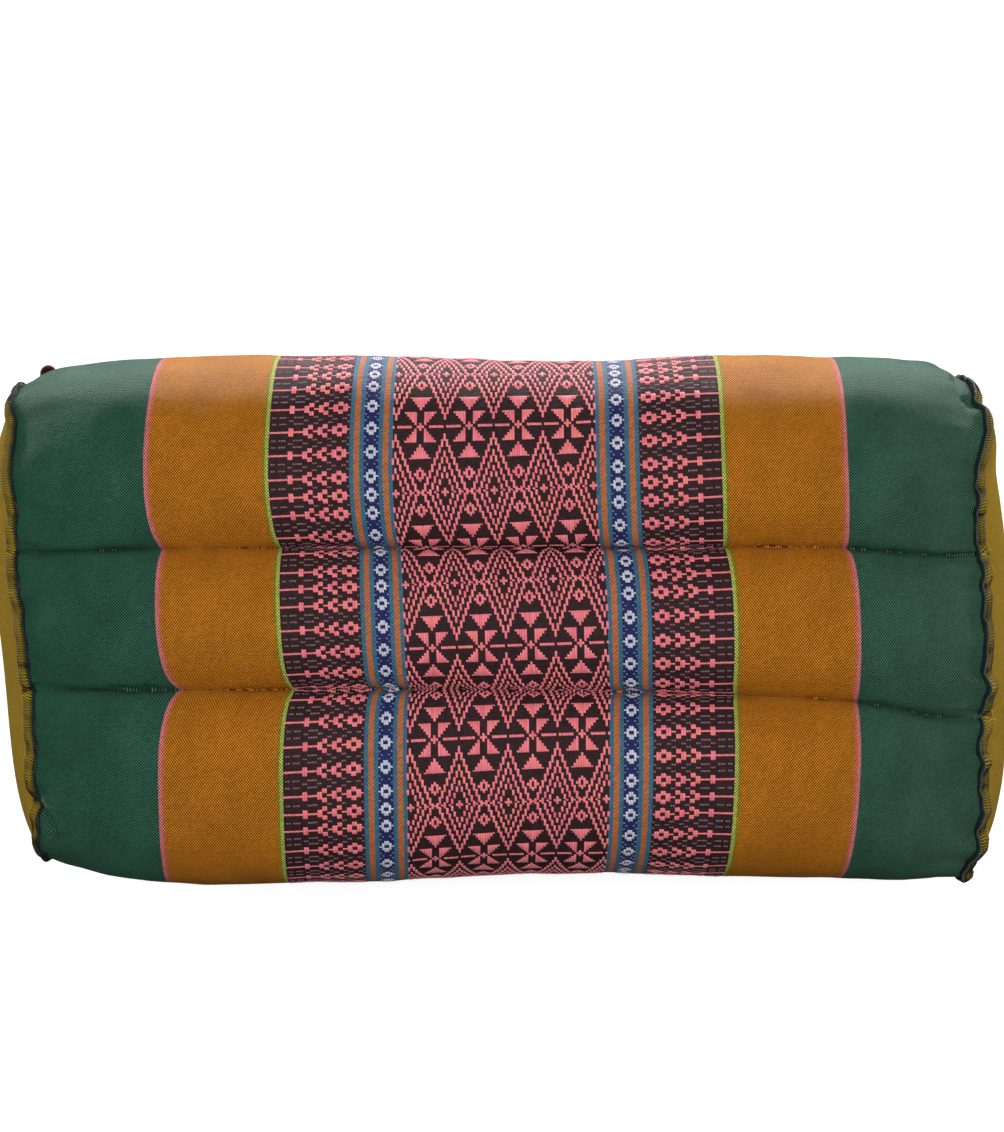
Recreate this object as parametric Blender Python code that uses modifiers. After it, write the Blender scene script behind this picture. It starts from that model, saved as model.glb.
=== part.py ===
"""A block zafu: a firm rectangular floor cushion packed with kapok.

One long sleeve of woven cloth runs round the cushion and is stitched through in six
lines, so the filling stands in six channels: three across the face, three across the
underside, two down each narrow side. A plain domed panel closes each end. The sleeve
and the panel meet in a seam whose raw edges stand outwards as a narrow welt.

The cushion lies on its underside. X runs along it from end to end, Y across its face,
Z up, with the origin on the surface below the middle. Sizes are in millimetres.
"""
import math

import bmesh
import bpy
import numpy as np

MM = 0.001
COLLECTION_NAME = "zafu"

# Main sizes
HALF_LENGTH = 157.0         # from the middle to each end seam, before the seam's own wander
CENTRE_HEIGHT = 59.25       # middle of the section above the surface
HALF_HEIGHT = 60.75         # middle of the section to a crest, so the face tops out at 120
ACROSS_SHIFT = -2.2         # sets the origin at the middle of the box around the cushion
SEAM_FADE = 45.0            # how far from an end the seam's wander still moves the cloth
CLEARANCE = 0.4             # gap between neighbouring pieces

# The sleeve's section along X: half widths to the back and front crests, share of the
# half height, squareness of the outline, and depth of the sewn grooves
SECTION_COLUMNS = ("x", "back", "front", "rise", "square", "face_groove", "side_groove")
SECTIONS = (
    (-157.0, 76.2, 80.6, 0.775, 5.0, 2.6, 2.0),
    (-150.0, 80.4, 83.2, 0.850, 4.6, 5.6, 3.5),
    (-136.0, 85.0, 86.4, 0.938, 4.0, 8.4, 6.5),
    (-116.0, 87.2, 89.1, 0.985, 3.7, 10.6, 8.5),
    (-105.0, 87.6, 89.8, 0.992, 3.6, 11.6, 8.8),
    (-90.0, 88.0, 90.2, 0.998, 3.6, 12.2, 9.0),
    (-72.0, 87.9, 89.8, 1.000, 3.6, 13.2, 9.0),
    (-40.0, 87.8, 88.9, 1.000, 3.6, 14.0, 9.0),
    (20.0, 85.9, 86.4, 1.000, 3.6, 14.0, 9.0),
    (70.0, 87.9, 87.1, 1.000, 3.6, 13.6, 9.0),
    (90.0, 87.9, 87.7, 0.996, 3.6, 12.8, 8.8),
    (105.0, 87.9, 87.9, 0.991, 3.6, 12.4, 8.6),
    (116.0, 87.8, 88.2, 0.986, 3.6, 12.0, 8.2),
    (136.0, 87.0, 88.8, 0.945, 3.9, 9.6, 6.5),
    (150.0, 84.0, 88.0, 0.855, 4.5, 6.0, 3.5),
    (157.0, 79.4, 87.2, 0.775, 5.0, 2.6, 2.0),
)

# The two stitch lines of the face, which drift a little towards the ends
FACE_LINE_COLUMNS = ("x", "back_line", "front_line")
FACE_LINES = (
    (-157.0, 21.2, -23.2),
    (-110.0, 22.8, -23.5),
    (0.0, 23.0, -23.6),
    (60.0, 23.2, -24.9),
    (90.0, 23.6, -26.0),
    (110.0, 23.2, -27.0),
    (125.0, 22.0, -29.0),
    (140.0, 20.8, -31.9),
    (157.0, 20.5, -32.9),
)
UNDER_LINE = 23.3           # distance of the underside's stitch lines from the middle

# Where the two end seams lie along X, across the face and across the underside
SEAM_COLUMNS = ("y", "left_face", "right_face", "left_under", "right_under")
SEAMS = (
    (-85.0, -152.4, 152.0, -153.8, 160.4),
    (-72.0, -153.0, 155.4, -153.6, 159.2),
    (-58.0, -152.8, 156.2, -153.0, 157.4),
    (-38.0, -152.8, 156.6, -152.6, 156.4),
    (-30.0, -153.2, 157.8, -153.0, 156.8),
    (-10.0, -155.4, 157.6, -154.4, 157.0),
    (12.0, -158.4, 156.6, -157.0, 156.2),
    (24.0, -158.8, 155.8, -157.6, 155.6),
    (38.0, -159.4, 154.8, -158.2, 154.8),
    (48.0, -160.4, 154.6, -159.0, 154.4),
    (62.0, -160.4, 157.6, -160.4, 155.6),
    (80.0, -162.6, 154.6, -163.0, 155.0),
)

# The six channels in order round the section: cells across each, then how far the
# filling swells it beyond the plain outline at each of the swell places
CHANNELS = (
    ("face_back", (14, 0.6, 1.2, 0.8, 0.9, 0.4)),
    ("under_back", (14, 0.8, 1.6, 2.6, 7.4, 1.6)),
    ("under_middle", (10, 0.0, 0.4, 0.6, 0.4, 0.0)),
    ("under_front", (14, 0.6, 1.4, 1.0, 1.4, 0.8)),
    ("face_front", (14, 0.6, 1.1, 0.6, 1.0, 0.8)),
    ("face_middle", (10, 0.0, 0.0, 0.0, 0.0, 0.0)),
)
SWELL_PLACES = (-157.0, -90.0, 0.0, 85.0, 157.0)
GROOVE_WIDTHS = (27.0, 27.0, 23.3, 27.0, 27.0, 23.3)
GROOVE_PINCH = 0.75         # under 1 the walls stand steeper beside the stitches
GROOVE_ROUND = 2.2          # over 1 the wall rolls over softly into the crest

# Loft and end panels
END_PLACES = {"left": -HALF_LENGTH, "right": HALF_LENGTH}
OUTLINE_STEPS = 720
OUTLINE_RUN = 1.0           # run either side of a point that gives its outward direction
CELLS_ALONG = 24
DOME_RINGS = (0.92, 0.78, 0.52, 0.26)
DOMES = {"left": -14.1, "right": 14.6}
DOME_SIDE_POWER = 3.2       # flat across the panel, then falling to its short sides
DOME_TOP_POWER = 2.6        # rounder from the panel's middle to its long sides
NOTCH_POWER = 7.0           # how soon the seam's notches smooth out towards the middle
PANEL_THICKNESS = 1.6
PANEL_RIM_SET = 2.1         # how far inside the seam the panel's rim begins

# Seam welt: an upright fold of both raw edges, as distances aside and proud of the seam
WELT_SECTION = (
    (-1.15, 0.6),
    (-1.05, 2.4),
    (-0.35, 3.6),
    (0.5, 3.4),
    (1.1, 2.2),
    (1.15, 0.6),
    (0.0, 0.0),
)

# Ribbon loop on the back narrow side, beside the left end seam
LOOP_CENTRE_X = -157.0
LOOP_ROOT_Y = 79.0
LOOP_OUTER_WIDTH = 5.6
LOOP_STAND = 7.4
LOOP_RIBBON_WIDTH = 6.0
LOOP_THICKNESS = 0.8
LOOP_ARC_STEPS = 10


def column(rows, columns, name):
    """One named column of a table as an array."""
    return np.array([row[columns.index(name)] for row in rows])


def curve_through(places, values, at):
    """Smooth cubic through a table's values, held level beyond its ends."""
    slopes = np.gradient(values, places)
    at = np.clip(at, places[0], places[-1])
    left = np.clip(np.searchsorted(places, at) - 1, 0, len(places) - 2)
    span = places[left + 1] - places[left]
    t = (at - places[left]) / span
    rise = values[left] * (1 + 2 * t) * (1 - t) ** 2 + values[left + 1] * t * t * (3 - 2 * t)
    turn = slopes[left] * t * (1 - t) ** 2 - slopes[left + 1] * t * t * (1 - t)
    return rise + turn * span


def section_value(name, x):
    """A named size of the sleeve's section at x."""
    return curve_through(column(SECTIONS, SECTION_COLUMNS, "x"), column(SECTIONS, SECTION_COLUMNS, name), x)


def face_line(name, x):
    """How far across the face a stitch line lies at x."""
    return curve_through(
        column(FACE_LINES, FACE_LINE_COLUMNS, "x"), column(FACE_LINES, FACE_LINE_COLUMNS, name), x
    )


def seam_x(name, y):
    """Where an end seam lies along X, at y across the cushion."""
    return curve_through(column(SEAMS, SEAM_COLUMNS, "y"), column(SEAMS, SEAM_COLUMNS, name), y)


def plain_outline(x):
    """Rounded rectangle of the section at x, from the top middle over the back side."""
    angle = math.pi / 2 - np.arange(OUTLINE_STEPS + 1) * (2 * math.pi / OUTLINE_STEPS)
    power = 2.0 / section_value("square", x)
    cos, sin = np.cos(angle), np.sin(angle)
    half_width = np.where(cos > 0, section_value("back", x), section_value("front", x))
    y = half_width * np.sign(cos) * np.abs(cos) ** power
    z = HALF_HEIGHT * section_value("rise", x) * np.sign(sin) * np.abs(sin) ** power
    return y, z


def stitch_places(y, length, x):
    """Distances round the outline of the six stitch lines, in channel order."""
    quarter = OUTLINE_STEPS // 4
    top_back = np.interp(face_line("back_line", x), y[:quarter], length[:quarter])
    under_back = np.interp(UNDER_LINE, y[2 * quarter:quarter:-1], length[2 * quarter:quarter:-1])
    under_front = np.interp(-UNDER_LINE, y[3 * quarter:2 * quarter:-1], length[3 * quarter:2 * quarter:-1])
    top_front = np.interp(face_line("front_line", x), y[3 * quarter:], length[3 * quarter:])
    return (top_back, length[quarter], under_back, under_front, length[3 * quarter], top_front)


def groove_fall(distance, width):
    """Share of the groove's full depth at a distance from its stitches."""
    share = np.clip(distance / width, 0.0, 1.0) ** GROOVE_PINCH
    return (1.0 - share) ** GROOVE_ROUND


def channelled_ring(x, groove_share=1.0):
    """Points round the sleeve at x: y and z, with grooves, swelling and flat underside."""
    y, z = plain_outline(x)
    length = np.concatenate(([0.0], np.cumsum(np.hypot(np.diff(y), np.diff(z)))))
    places = stitch_places(y, length, x)
    face_depth = section_value("face_groove", x) * groove_share
    side_depth = section_value("side_groove", x) * groove_share
    depths = (face_depth, side_depth, face_depth, face_depth, side_depth, face_depth)
    ring_y, ring_z = [], []
    for index, (_, sizes) in enumerate(CHANNELS):
        start = places[index]
        end = places[(index + 1) % 6] + (length[-1] if index == 5 else 0.0)
        share = 0.5 - 0.5 * np.cos(math.pi * np.arange(sizes[0]) / sizes[0])
        along = start + share * (end - start)
        sunk = depths[index] * groove_fall(along - start, GROOVE_WIDTHS[index])
        sunk += depths[(index + 1) % 6] * groove_fall(end - along, GROOVE_WIDTHS[index])
        swell = curve_through(np.array(SWELL_PLACES), np.array(sizes[1:]), x) * np.sin(math.pi * share)
        wrapped = along % length[-1]
        point_y, point_z = np.interp(wrapped, length, y), np.interp(wrapped, length, z)
        ahead = (along + OUTLINE_RUN) % length[-1]
        behind = (along - OUTLINE_RUN) % length[-1]
        run_y = np.interp(ahead, length, y) - np.interp(behind, length, y)
        run_z = np.interp(ahead, length, z) - np.interp(behind, length, z)
        size = np.hypot(run_y, run_z)
        ring_y.append(point_y - run_z / size * (swell - sunk))
        ring_z.append(point_z + run_y / size * (swell - sunk))
    ring_z = np.maximum(np.concatenate(ring_z) + CENTRE_HEIGHT, 0.0)
    return np.concatenate(ring_y), ring_z


def seam_offsets(ring_y, ring_z, side):
    """How far each point of an end ring lies from the plain end plane, along X."""
    height_share = np.clip(ring_z / (2 * CENTRE_HEIGHT), 0.0, 1.0)
    blend = height_share ** 2 * (3 - 2 * height_share)
    x = seam_x(side + "_under", ring_y) * (1 - blend) + seam_x(side + "_face", ring_y) * blend
    return x - END_PLACES[side]


def end_ring(side, groove_share=1.0):
    """The ring of points along an end seam, or the same ring without its notches."""
    ring_y, ring_z = channelled_ring(END_PLACES[side], groove_share)
    ring_x = END_PLACES[side] + seam_offsets(ring_y, ring_z, side)
    return np.column_stack((ring_x, ring_y + ACROSS_SHIFT, ring_z))


def fade(inset):
    """Share of the seam's wander left at a distance in from the seam."""
    t = np.clip(inset / SEAM_FADE, 0.0, 1.0)
    return (1 - t) ** 2 * (1 + 2 * t)


def sleeve_rings():
    """Rings of points from the left seam to the right seam."""
    left = seam_offsets(*channelled_ring(-HALF_LENGTH), "left")
    right = seam_offsets(*channelled_ring(HALF_LENGTH), "right")
    rings = []
    for step in range(CELLS_ALONG + 1):
        x = -HALF_LENGTH * math.cos(math.pi * step / CELLS_ALONG)
        ring_y, ring_z = channelled_ring(x)
        ring_x = x + left * fade(x + HALF_LENGTH) + right * fade(HALF_LENGTH - x)
        rings.append(np.column_stack((ring_x, ring_y + ACROSS_SHIFT, ring_z)))
    return rings


def dome_ring(side, share):
    """An end's ring at a share of the way out from the middle to the seam."""
    seam_ring, plain_ring = end_ring(side), end_ring(side, 0.0)
    middle = plain_ring.mean(axis=0)
    share = np.asarray(share).reshape(-1, 1)
    reach = plain_ring + (seam_ring - plain_ring) * share ** NOTCH_POWER - middle
    width = np.abs(reach[:, 1]) / np.abs(reach[:, 1]).max()
    height = np.abs(reach[:, 2]) / np.abs(reach[:, 2]).max()
    sideways = width ** 2 / (width ** 2 + height ** 2)
    power = DOME_TOP_POWER + (DOME_SIDE_POWER - DOME_TOP_POWER) * sideways
    ring = middle + reach * share
    seam_surface = END_PLACES[side] + seam_offsets(ring[:, 1] - ACROSS_SHIFT, ring[:, 2], side)
    ring[:, 0] = seam_surface + DOMES[side] * (1 - share[:, 0] ** power)
    return ring


def add_loft(mesh, rings):
    """Vertices for each ring in turn, and a band of quads between neighbours."""
    bands = [[mesh.verts.new(point * MM) for point in ring] for ring in rings]
    for near, far in zip(bands, bands[1:]):
        for index in range(len(near)):
            after = (index + 1) % len(near)
            mesh.faces.new((near[index], near[after], far[after], far[index]))
    return bands


def close_middle(mesh, band, point):
    """A fan of triangles from a ring to one middle point."""
    tip = mesh.verts.new(point * MM)
    for index in range(len(band)):
        mesh.faces.new((band[index], band[(index + 1) % len(band)], tip))


def new_object(name, mesh, material):
    """An object in the cushion's collection, shaded smooth."""
    data = bpy.data.meshes.new(name)
    mesh.to_mesh(data)
    mesh.free()
    data.shade_smooth()
    data.materials.append(material)
    piece = bpy.data.objects.new(name, data)
    collection.objects.link(piece)
    return piece


def cloth_material(name, colour, roughness):
    """Plain cloth in one colour."""
    material = bpy.data.materials.new(name)
    material.use_nodes = True
    shader = material.node_tree.nodes["Principled BSDF"]
    shader.inputs["Base Color"].default_value = (*colour, 1.0)
    shader.inputs["Roughness"].default_value = roughness
    shader.inputs["Metallic"].default_value = 0.0
    return material


def end_middle(side):
    """The middle point of an end, at the top of its dome."""
    return dome_ring(side, 0.0)[0]


def build_cover(material):
    """The filled body: the channelled sleeve with a domed end inside each end panel."""
    left = [dome_ring("left", share) for share in reversed(DOME_RINGS)]
    right = [dome_ring("right", share) for share in DOME_RINGS]
    mesh = bmesh.new()
    bands = add_loft(mesh, left + sleeve_rings() + right)
    close_middle(mesh, bands[0], end_middle("left"))
    close_middle(mesh, bands[-1], end_middle("right"))
    bmesh.ops.recalc_face_normals(mesh, faces=mesh.faces)
    return new_object("cover", mesh, material)


def build_end_panel(side, material):
    """A domed panel of cloth lying on the body's end, from just inside the seam."""
    reach = np.linalg.norm((end_ring(side) - end_ring(side).mean(axis=0))[:, 1:], axis=1)
    rings = [dome_ring(side, 1.0 - PANEL_RIM_SET / reach)]
    rings += [dome_ring(side, share) for share in DOME_RINGS]
    mesh = bmesh.new()
    bands = add_loft(mesh, rings)
    close_middle(mesh, bands[-1], end_middle(side))
    bmesh.ops.recalc_face_normals(mesh, faces=mesh.faces)
    if sum(face.normal.x for face in mesh.faces) * DOMES[side] < 0:
        bmesh.ops.reverse_faces(mesh, faces=mesh.faces)
    mesh.normal_update()
    for vert in mesh.verts:
        vert.co += vert.normal * CLEARANCE * MM
    panel = new_object("end_panel_" + side, mesh, material)
    thicken = panel.modifiers.new("cloth thickness", "SOLIDIFY")
    thicken.thickness = PANEL_THICKNESS * MM
    thicken.offset = 1.0
    return panel


def unit(vectors):
    """Rows scaled to length one."""
    return vectors / np.linalg.norm(vectors, axis=1, keepdims=True)


def build_welt(side, material):
    """The seam's standing edges: a narrow fold swept round the end of the sleeve."""
    seam_ring, inner_ring = end_ring(side), dome_ring(side, DOME_RINGS[0])
    sleeve_ring = sleeve_rings()[1 if side == "left" else -2]
    forward = unit(np.roll(seam_ring, -1, axis=0) - np.roll(seam_ring, 1, axis=0))
    aside = unit(inner_ring - seam_ring) - unit(sleeve_ring - seam_ring)
    aside = unit(aside - forward * np.sum(aside * forward, axis=1, keepdims=True))
    proud = np.cross(forward, aside)
    if np.sum(proud * (seam_ring - seam_ring.mean(axis=0))) < 0:
        proud = -proud
    rings = [seam_ring + aside * across + proud * (height + CLEARANCE) for across, height in WELT_SECTION]
    mesh = bmesh.new()
    add_loft(mesh, rings + rings[:1])
    bmesh.ops.remove_doubles(mesh, verts=mesh.verts, dist=0.01 * MM)
    bmesh.ops.recalc_face_normals(mesh, faces=mesh.faces)
    return new_object("seam_welt_" + side, mesh, material)


def build_ribbon_loop(material):
    """A short ribbon folded into a loop, its two ends at the side of the sleeve."""
    radius = (LOOP_OUTER_WIDTH - LOOP_THICKNESS) / 2
    arc_top = LOOP_ROOT_Y + LOOP_STAND - LOOP_OUTER_WIDTH / 2
    path = [(LOOP_CENTRE_X - radius, LOOP_ROOT_Y)]
    for step in range(LOOP_ARC_STEPS + 1):
        angle = math.pi * (1 - step / LOOP_ARC_STEPS)
        path.append((LOOP_CENTRE_X + radius * math.cos(angle), arc_top + radius * math.sin(angle)))
    path.append((LOOP_CENTRE_X + radius, LOOP_ROOT_Y))
    mesh = bmesh.new()
    verts = [mesh.verts.new((x * MM, (y + ACROSS_SHIFT) * MM, -LOOP_RIBBON_WIDTH / 2 * MM)) for x, y in path]
    edges = [mesh.edges.new(pair) for pair in zip(verts, verts[1:])]
    raised = bmesh.ops.extrude_edge_only(mesh, edges=edges)
    lifted = [item for item in raised["geom"] if isinstance(item, bmesh.types.BMVert)]
    bmesh.ops.translate(mesh, verts=lifted, vec=(0.0, 0.0, LOOP_RIBBON_WIDTH * MM))
    bmesh.ops.recalc_face_normals(mesh, faces=mesh.faces)
    piece = new_object("ribbon_loop", mesh, material)
    piece.location = (0.0, 0.0, CENTRE_HEIGHT * MM)
    thicken = piece.modifiers.new("ribbon thickness", "SOLIDIFY")
    thicken.thickness = LOOP_THICKNESS * MM
    thicken.offset = 0.0
    return piece


for leftover in list(bpy.data.objects):
    bpy.data.objects.remove(leftover, do_unlink=True)
collection = bpy.data.collections.new(COLLECTION_NAME)
bpy.context.scene.collection.children.link(collection)

sleeve_cloth = cloth_material("sleeve cloth", (0.30, 0.11, 0.06), 0.62)
panel_cloth = cloth_material("end panel cloth", (0.27, 0.17, 0.02), 0.60)
seam_thread = cloth_material("seam thread", (0.03, 0.05, 0.04), 0.75)
loop_ribbon = cloth_material("loop ribbon", (0.09, 0.02, 0.02), 0.70)

build_cover(sleeve_cloth)
for end in END_PLACES:
    build_end_panel(end, panel_cloth)
    build_welt(end, seam_thread)
build_ribbon_loop(loop_ribbon)
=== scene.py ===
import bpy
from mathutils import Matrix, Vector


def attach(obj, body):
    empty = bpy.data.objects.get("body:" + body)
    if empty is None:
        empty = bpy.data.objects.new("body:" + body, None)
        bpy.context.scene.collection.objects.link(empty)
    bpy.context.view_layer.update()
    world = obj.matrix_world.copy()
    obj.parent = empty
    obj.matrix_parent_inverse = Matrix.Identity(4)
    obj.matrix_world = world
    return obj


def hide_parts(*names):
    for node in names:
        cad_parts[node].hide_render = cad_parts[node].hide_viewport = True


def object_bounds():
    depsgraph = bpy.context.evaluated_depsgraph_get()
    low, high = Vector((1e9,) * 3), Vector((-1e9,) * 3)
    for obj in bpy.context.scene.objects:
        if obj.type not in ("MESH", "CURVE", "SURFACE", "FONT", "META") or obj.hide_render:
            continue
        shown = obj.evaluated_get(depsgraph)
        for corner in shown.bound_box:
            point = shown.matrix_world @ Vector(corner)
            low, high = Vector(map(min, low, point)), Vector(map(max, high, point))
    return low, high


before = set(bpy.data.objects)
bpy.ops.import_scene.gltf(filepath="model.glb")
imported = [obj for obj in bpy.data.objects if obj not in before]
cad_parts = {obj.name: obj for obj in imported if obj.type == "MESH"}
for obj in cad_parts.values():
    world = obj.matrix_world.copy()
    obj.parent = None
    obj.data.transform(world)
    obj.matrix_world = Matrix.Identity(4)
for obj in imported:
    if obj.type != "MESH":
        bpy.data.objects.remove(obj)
cad_low, cad_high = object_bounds()
box = [round(size, 4) for size in cad_high - cad_low]
print("packed pieces:", len(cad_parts), "in a box of", box, "metres")

# %% [markdown]
# ## Tools and units
# All sizes below are millimetres, as a maker would measure the cushion, and are turned into
# metres only where a mesh is made. Numpy works out whole rows of points at once, which is
# far quicker in Python than moving single vertices.
# %% Tools and units
import math

import bpy
import numpy as np
from mathutils import Vector

MM = 0.001
print("one millimetre is", MM, "of Blender's metres")

# %% [markdown]
# ## The block's section
# The sleeve is a rounded rectangle that grows slack and low towards the ends. One way to
# model it is a subdivided box with edited loops. A short table of sections along the
# cushion, with smooth curves between its rows, is easier to correct and says what was
# measured: how far the block reaches back and front, how high it rises as a share of its
# full height, how square its corners are, how deep the grooves on the face and on the
# narrow sides are, and which share of a groove falls steeply beside its stitches.
# %% The block's section
HALF_LENGTH = 157.0
CENTRE_HEIGHT = 59.25
HALF_HEIGHT = 60.75
ACROSS_SHIFT = -2.2
SECTION_COLUMNS = ("x", "back", "front", "rise", "square", "face_groove", "side_groove", "crease")
SECTIONS = (
    (-157.0, 76.2, 80.6, 0.775, 5.0, 2.6, 2.0, 0.70),
    (-150.0, 80.4, 83.2, 0.850, 4.6, 5.6, 3.5, 0.60),
    (-136.0, 85.0, 86.4, 0.938, 4.0, 8.4, 6.5, 0.52),
    (-116.0, 87.2, 89.1, 0.985, 3.7, 10.6, 8.5, 0.36),
    (-105.0, 87.6, 89.8, 0.992, 3.6, 11.6, 8.8, 0.10),
    (-90.0, 88.0, 90.2, 0.998, 3.6, 12.2, 9.0, 0.06),
    (-72.0, 87.9, 89.8, 1.000, 3.6, 13.2, 9.0, 0.18),
    (-40.0, 87.8, 88.9, 1.000, 3.6, 14.0, 9.0, 0.34),
    (20.0, 85.9, 86.4, 1.000, 3.6, 14.0, 9.0, 0.34),
    (70.0, 87.9, 87.1, 1.000, 3.6, 13.6, 9.0, 0.20),
    (90.0, 87.9, 87.7, 0.996, 3.6, 12.8, 8.8, 0.06),
    (105.0, 87.9, 87.9, 0.991, 3.6, 12.4, 8.6, 0.10),
    (116.0, 87.8, 88.2, 0.986, 3.6, 12.0, 8.2, 0.34),
    (136.0, 87.0, 88.8, 0.945, 3.9, 9.6, 6.5, 0.46),
    (150.0, 84.0, 88.0, 0.855, 4.5, 6.0, 3.5, 0.60),
    (157.0, 79.4, 87.2, 0.775, 5.0, 2.6, 2.0, 0.70),
)


def column(rows, columns, name):
    """One named column of a table as an array."""
    return np.array([row[columns.index(name)] for row in rows])


def curve_through(places, values, at):
    """Smooth cubic through a table's values, held level beyond its ends."""
    places, values = np.asarray(places, float), np.asarray(values, float)
    slopes = np.gradient(values, places)
    at = np.clip(at, places[0], places[-1])
    left = np.clip(np.searchsorted(places, at) - 1, 0, len(places) - 2)
    span = places[left + 1] - places[left]
    t = (at - places[left]) / span
    rise = values[left] * (1 + 2 * t) * (1 - t) ** 2 + values[left + 1] * t * t * (3 - 2 * t)
    turn = slopes[left] * t * (1 - t) ** 2 - slopes[left + 1] * t * t * (1 - t)
    return rise + turn * span


def table_value(rows, columns, name, at):
    """A table's named column, read by a smooth curve at places in its first column."""
    return curve_through(column(rows, columns, columns[0]), column(rows, columns, name), at)


def section_value(name, x):
    """A named size of the sleeve's section at x."""
    return table_value(SECTIONS, SECTION_COLUMNS, name, x)


print("section table:", len(SECTIONS), "rows from", SECTIONS[0][0], "to", SECTIONS[-1][0], "mm")

# %% [markdown]
# ## The plain outline
# Between a rectangle and an ellipse lies the superellipse, whose corners are rounder or
# squarer by one number. A rectangle with bevelled corners would be simpler, but its sides
# would stay flat, where packed cloth is always a little bowed. The outline may reach
# further to the front than to the back.
# %% The plain outline
OUTLINE_STEPS = 720


def plain_outline(x):
    """Rounded rectangle of the section at x, from the top middle over the back side."""
    angle = math.pi / 2 - np.arange(OUTLINE_STEPS + 1) * (2 * math.pi / OUTLINE_STEPS)
    power = 2.0 / section_value("square", x)
    cos, sin = np.cos(angle), np.sin(angle)
    half_width = np.where(cos > 0, section_value("back", x), section_value("front", x))
    y = half_width * np.sign(cos) * np.abs(cos) ** power
    z = HALF_HEIGHT * section_value("rise", x) * np.sign(sin) * np.abs(sin) ** power
    return y, z


print("the middle section is", round(float(np.ptp(plain_outline(0.0)[0])), 1), "mm across")

# %% [markdown]
# ## Stitch lines and channels
# Six rows of stitches go right through the block, and the kapok swells between them. In
# Blender a channel could be pressed in with a curve and a displacement. Here each channel
# is worked out from its own two stitch lines: the cloth falls steeply to the stitches and
# rolls over softly into the crest, which is how tight filling behaves.
# %% Where the stitch lines run
FACE_LINE_COLUMNS = ("x", "back_line", "front_line")
FACE_LINES = (
    (-157.0, 21.2, -23.2),
    (-110.0, 22.8, -23.5),
    (0.0, 23.0, -23.6),
    (60.0, 23.2, -24.9),
    (90.0, 23.6, -26.0),
    (110.0, 23.2, -27.0),
    (125.0, 22.0, -29.0),
    (140.0, 20.8, -31.9),
    (157.0, 20.5, -32.9),
)
UNDER_LINE = 23.3
LINE_COUNT = 6
SIDE_TURNS = (1, 2, 3)


def stitch_places(y, length, x):
    """Distances round the outline of the six stitch lines, in channel order."""
    back_line, front_line = (table_value(FACE_LINES, FACE_LINE_COLUMNS, name, x)
                             for name in FACE_LINE_COLUMNS[1:])
    back, under, front = (OUTLINE_STEPS // 4 * turn for turn in SIDE_TURNS)
    top_back = np.interp(back_line, y[:back], length[:back])
    under_back = np.interp(UNDER_LINE, y[under:back:-1], length[under:back:-1])
    under_front = np.interp(-UNDER_LINE, y[front:under:-1], length[front:under:-1])
    top_front = np.interp(front_line, y[front:], length[front:])
    return top_back, length[back], under_back, under_front, length[front], top_front


print("stitch lines:", LINE_COUNT, "in all, and the two under the cushion are", 2 * UNDER_LINE, "mm apart")

# %% [markdown]
# ## The swelling channels
# A channel between two lines of stitches is highest in its middle. Each one gets the width
# of its two grooves and its own swelling, measured at five places along the cushion,
# because kapok packed by hand is never even. The underside is cut off flat at the floor,
# where the real block rests on it.
# %% The swelling channels
SWELL_PLACES = (-157.0, -90.0, 0.0, 85.0, 157.0)
# Each channel's name, the width of its grooves and its swelling at the swell places
CHANNELS = (
    ("face_back", 27.0, (0.6, 1.2, 0.8, 0.9, 0.4)),
    ("under_back", 27.0, (0.8, 1.6, 2.6, 7.4, 1.6)),
    ("under_middle", 23.3, (0.0, 0.4, 0.6, 0.4, 0.0)),
    ("under_front", 27.0, (0.6, 1.4, 1.0, 1.4, 0.8)),
    ("face_front", 27.0, (0.6, 1.1, 0.6, 1.0, 0.8)),
    ("face_middle", 23.3, (0.0, 0.0, 0.0, 0.0, 0.0)),
)
GROOVE_ROUND = 2.6
CREASE_WIDTH = 0.9
RING_CELLS = 84
RING_POINTS = RING_CELLS * LINE_COUNT
NORMAL_STEP = 1.0


def groove_fall(distance, width, crease):
    """Share of the groove's full depth at a distance from its stitches."""
    wide = (1.0 - np.clip(distance / width, 0.0, 1.0)) ** GROOVE_ROUND
    return crease * np.exp(-distance / CREASE_WIDTH) + (1.0 - crease) * wide


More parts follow.
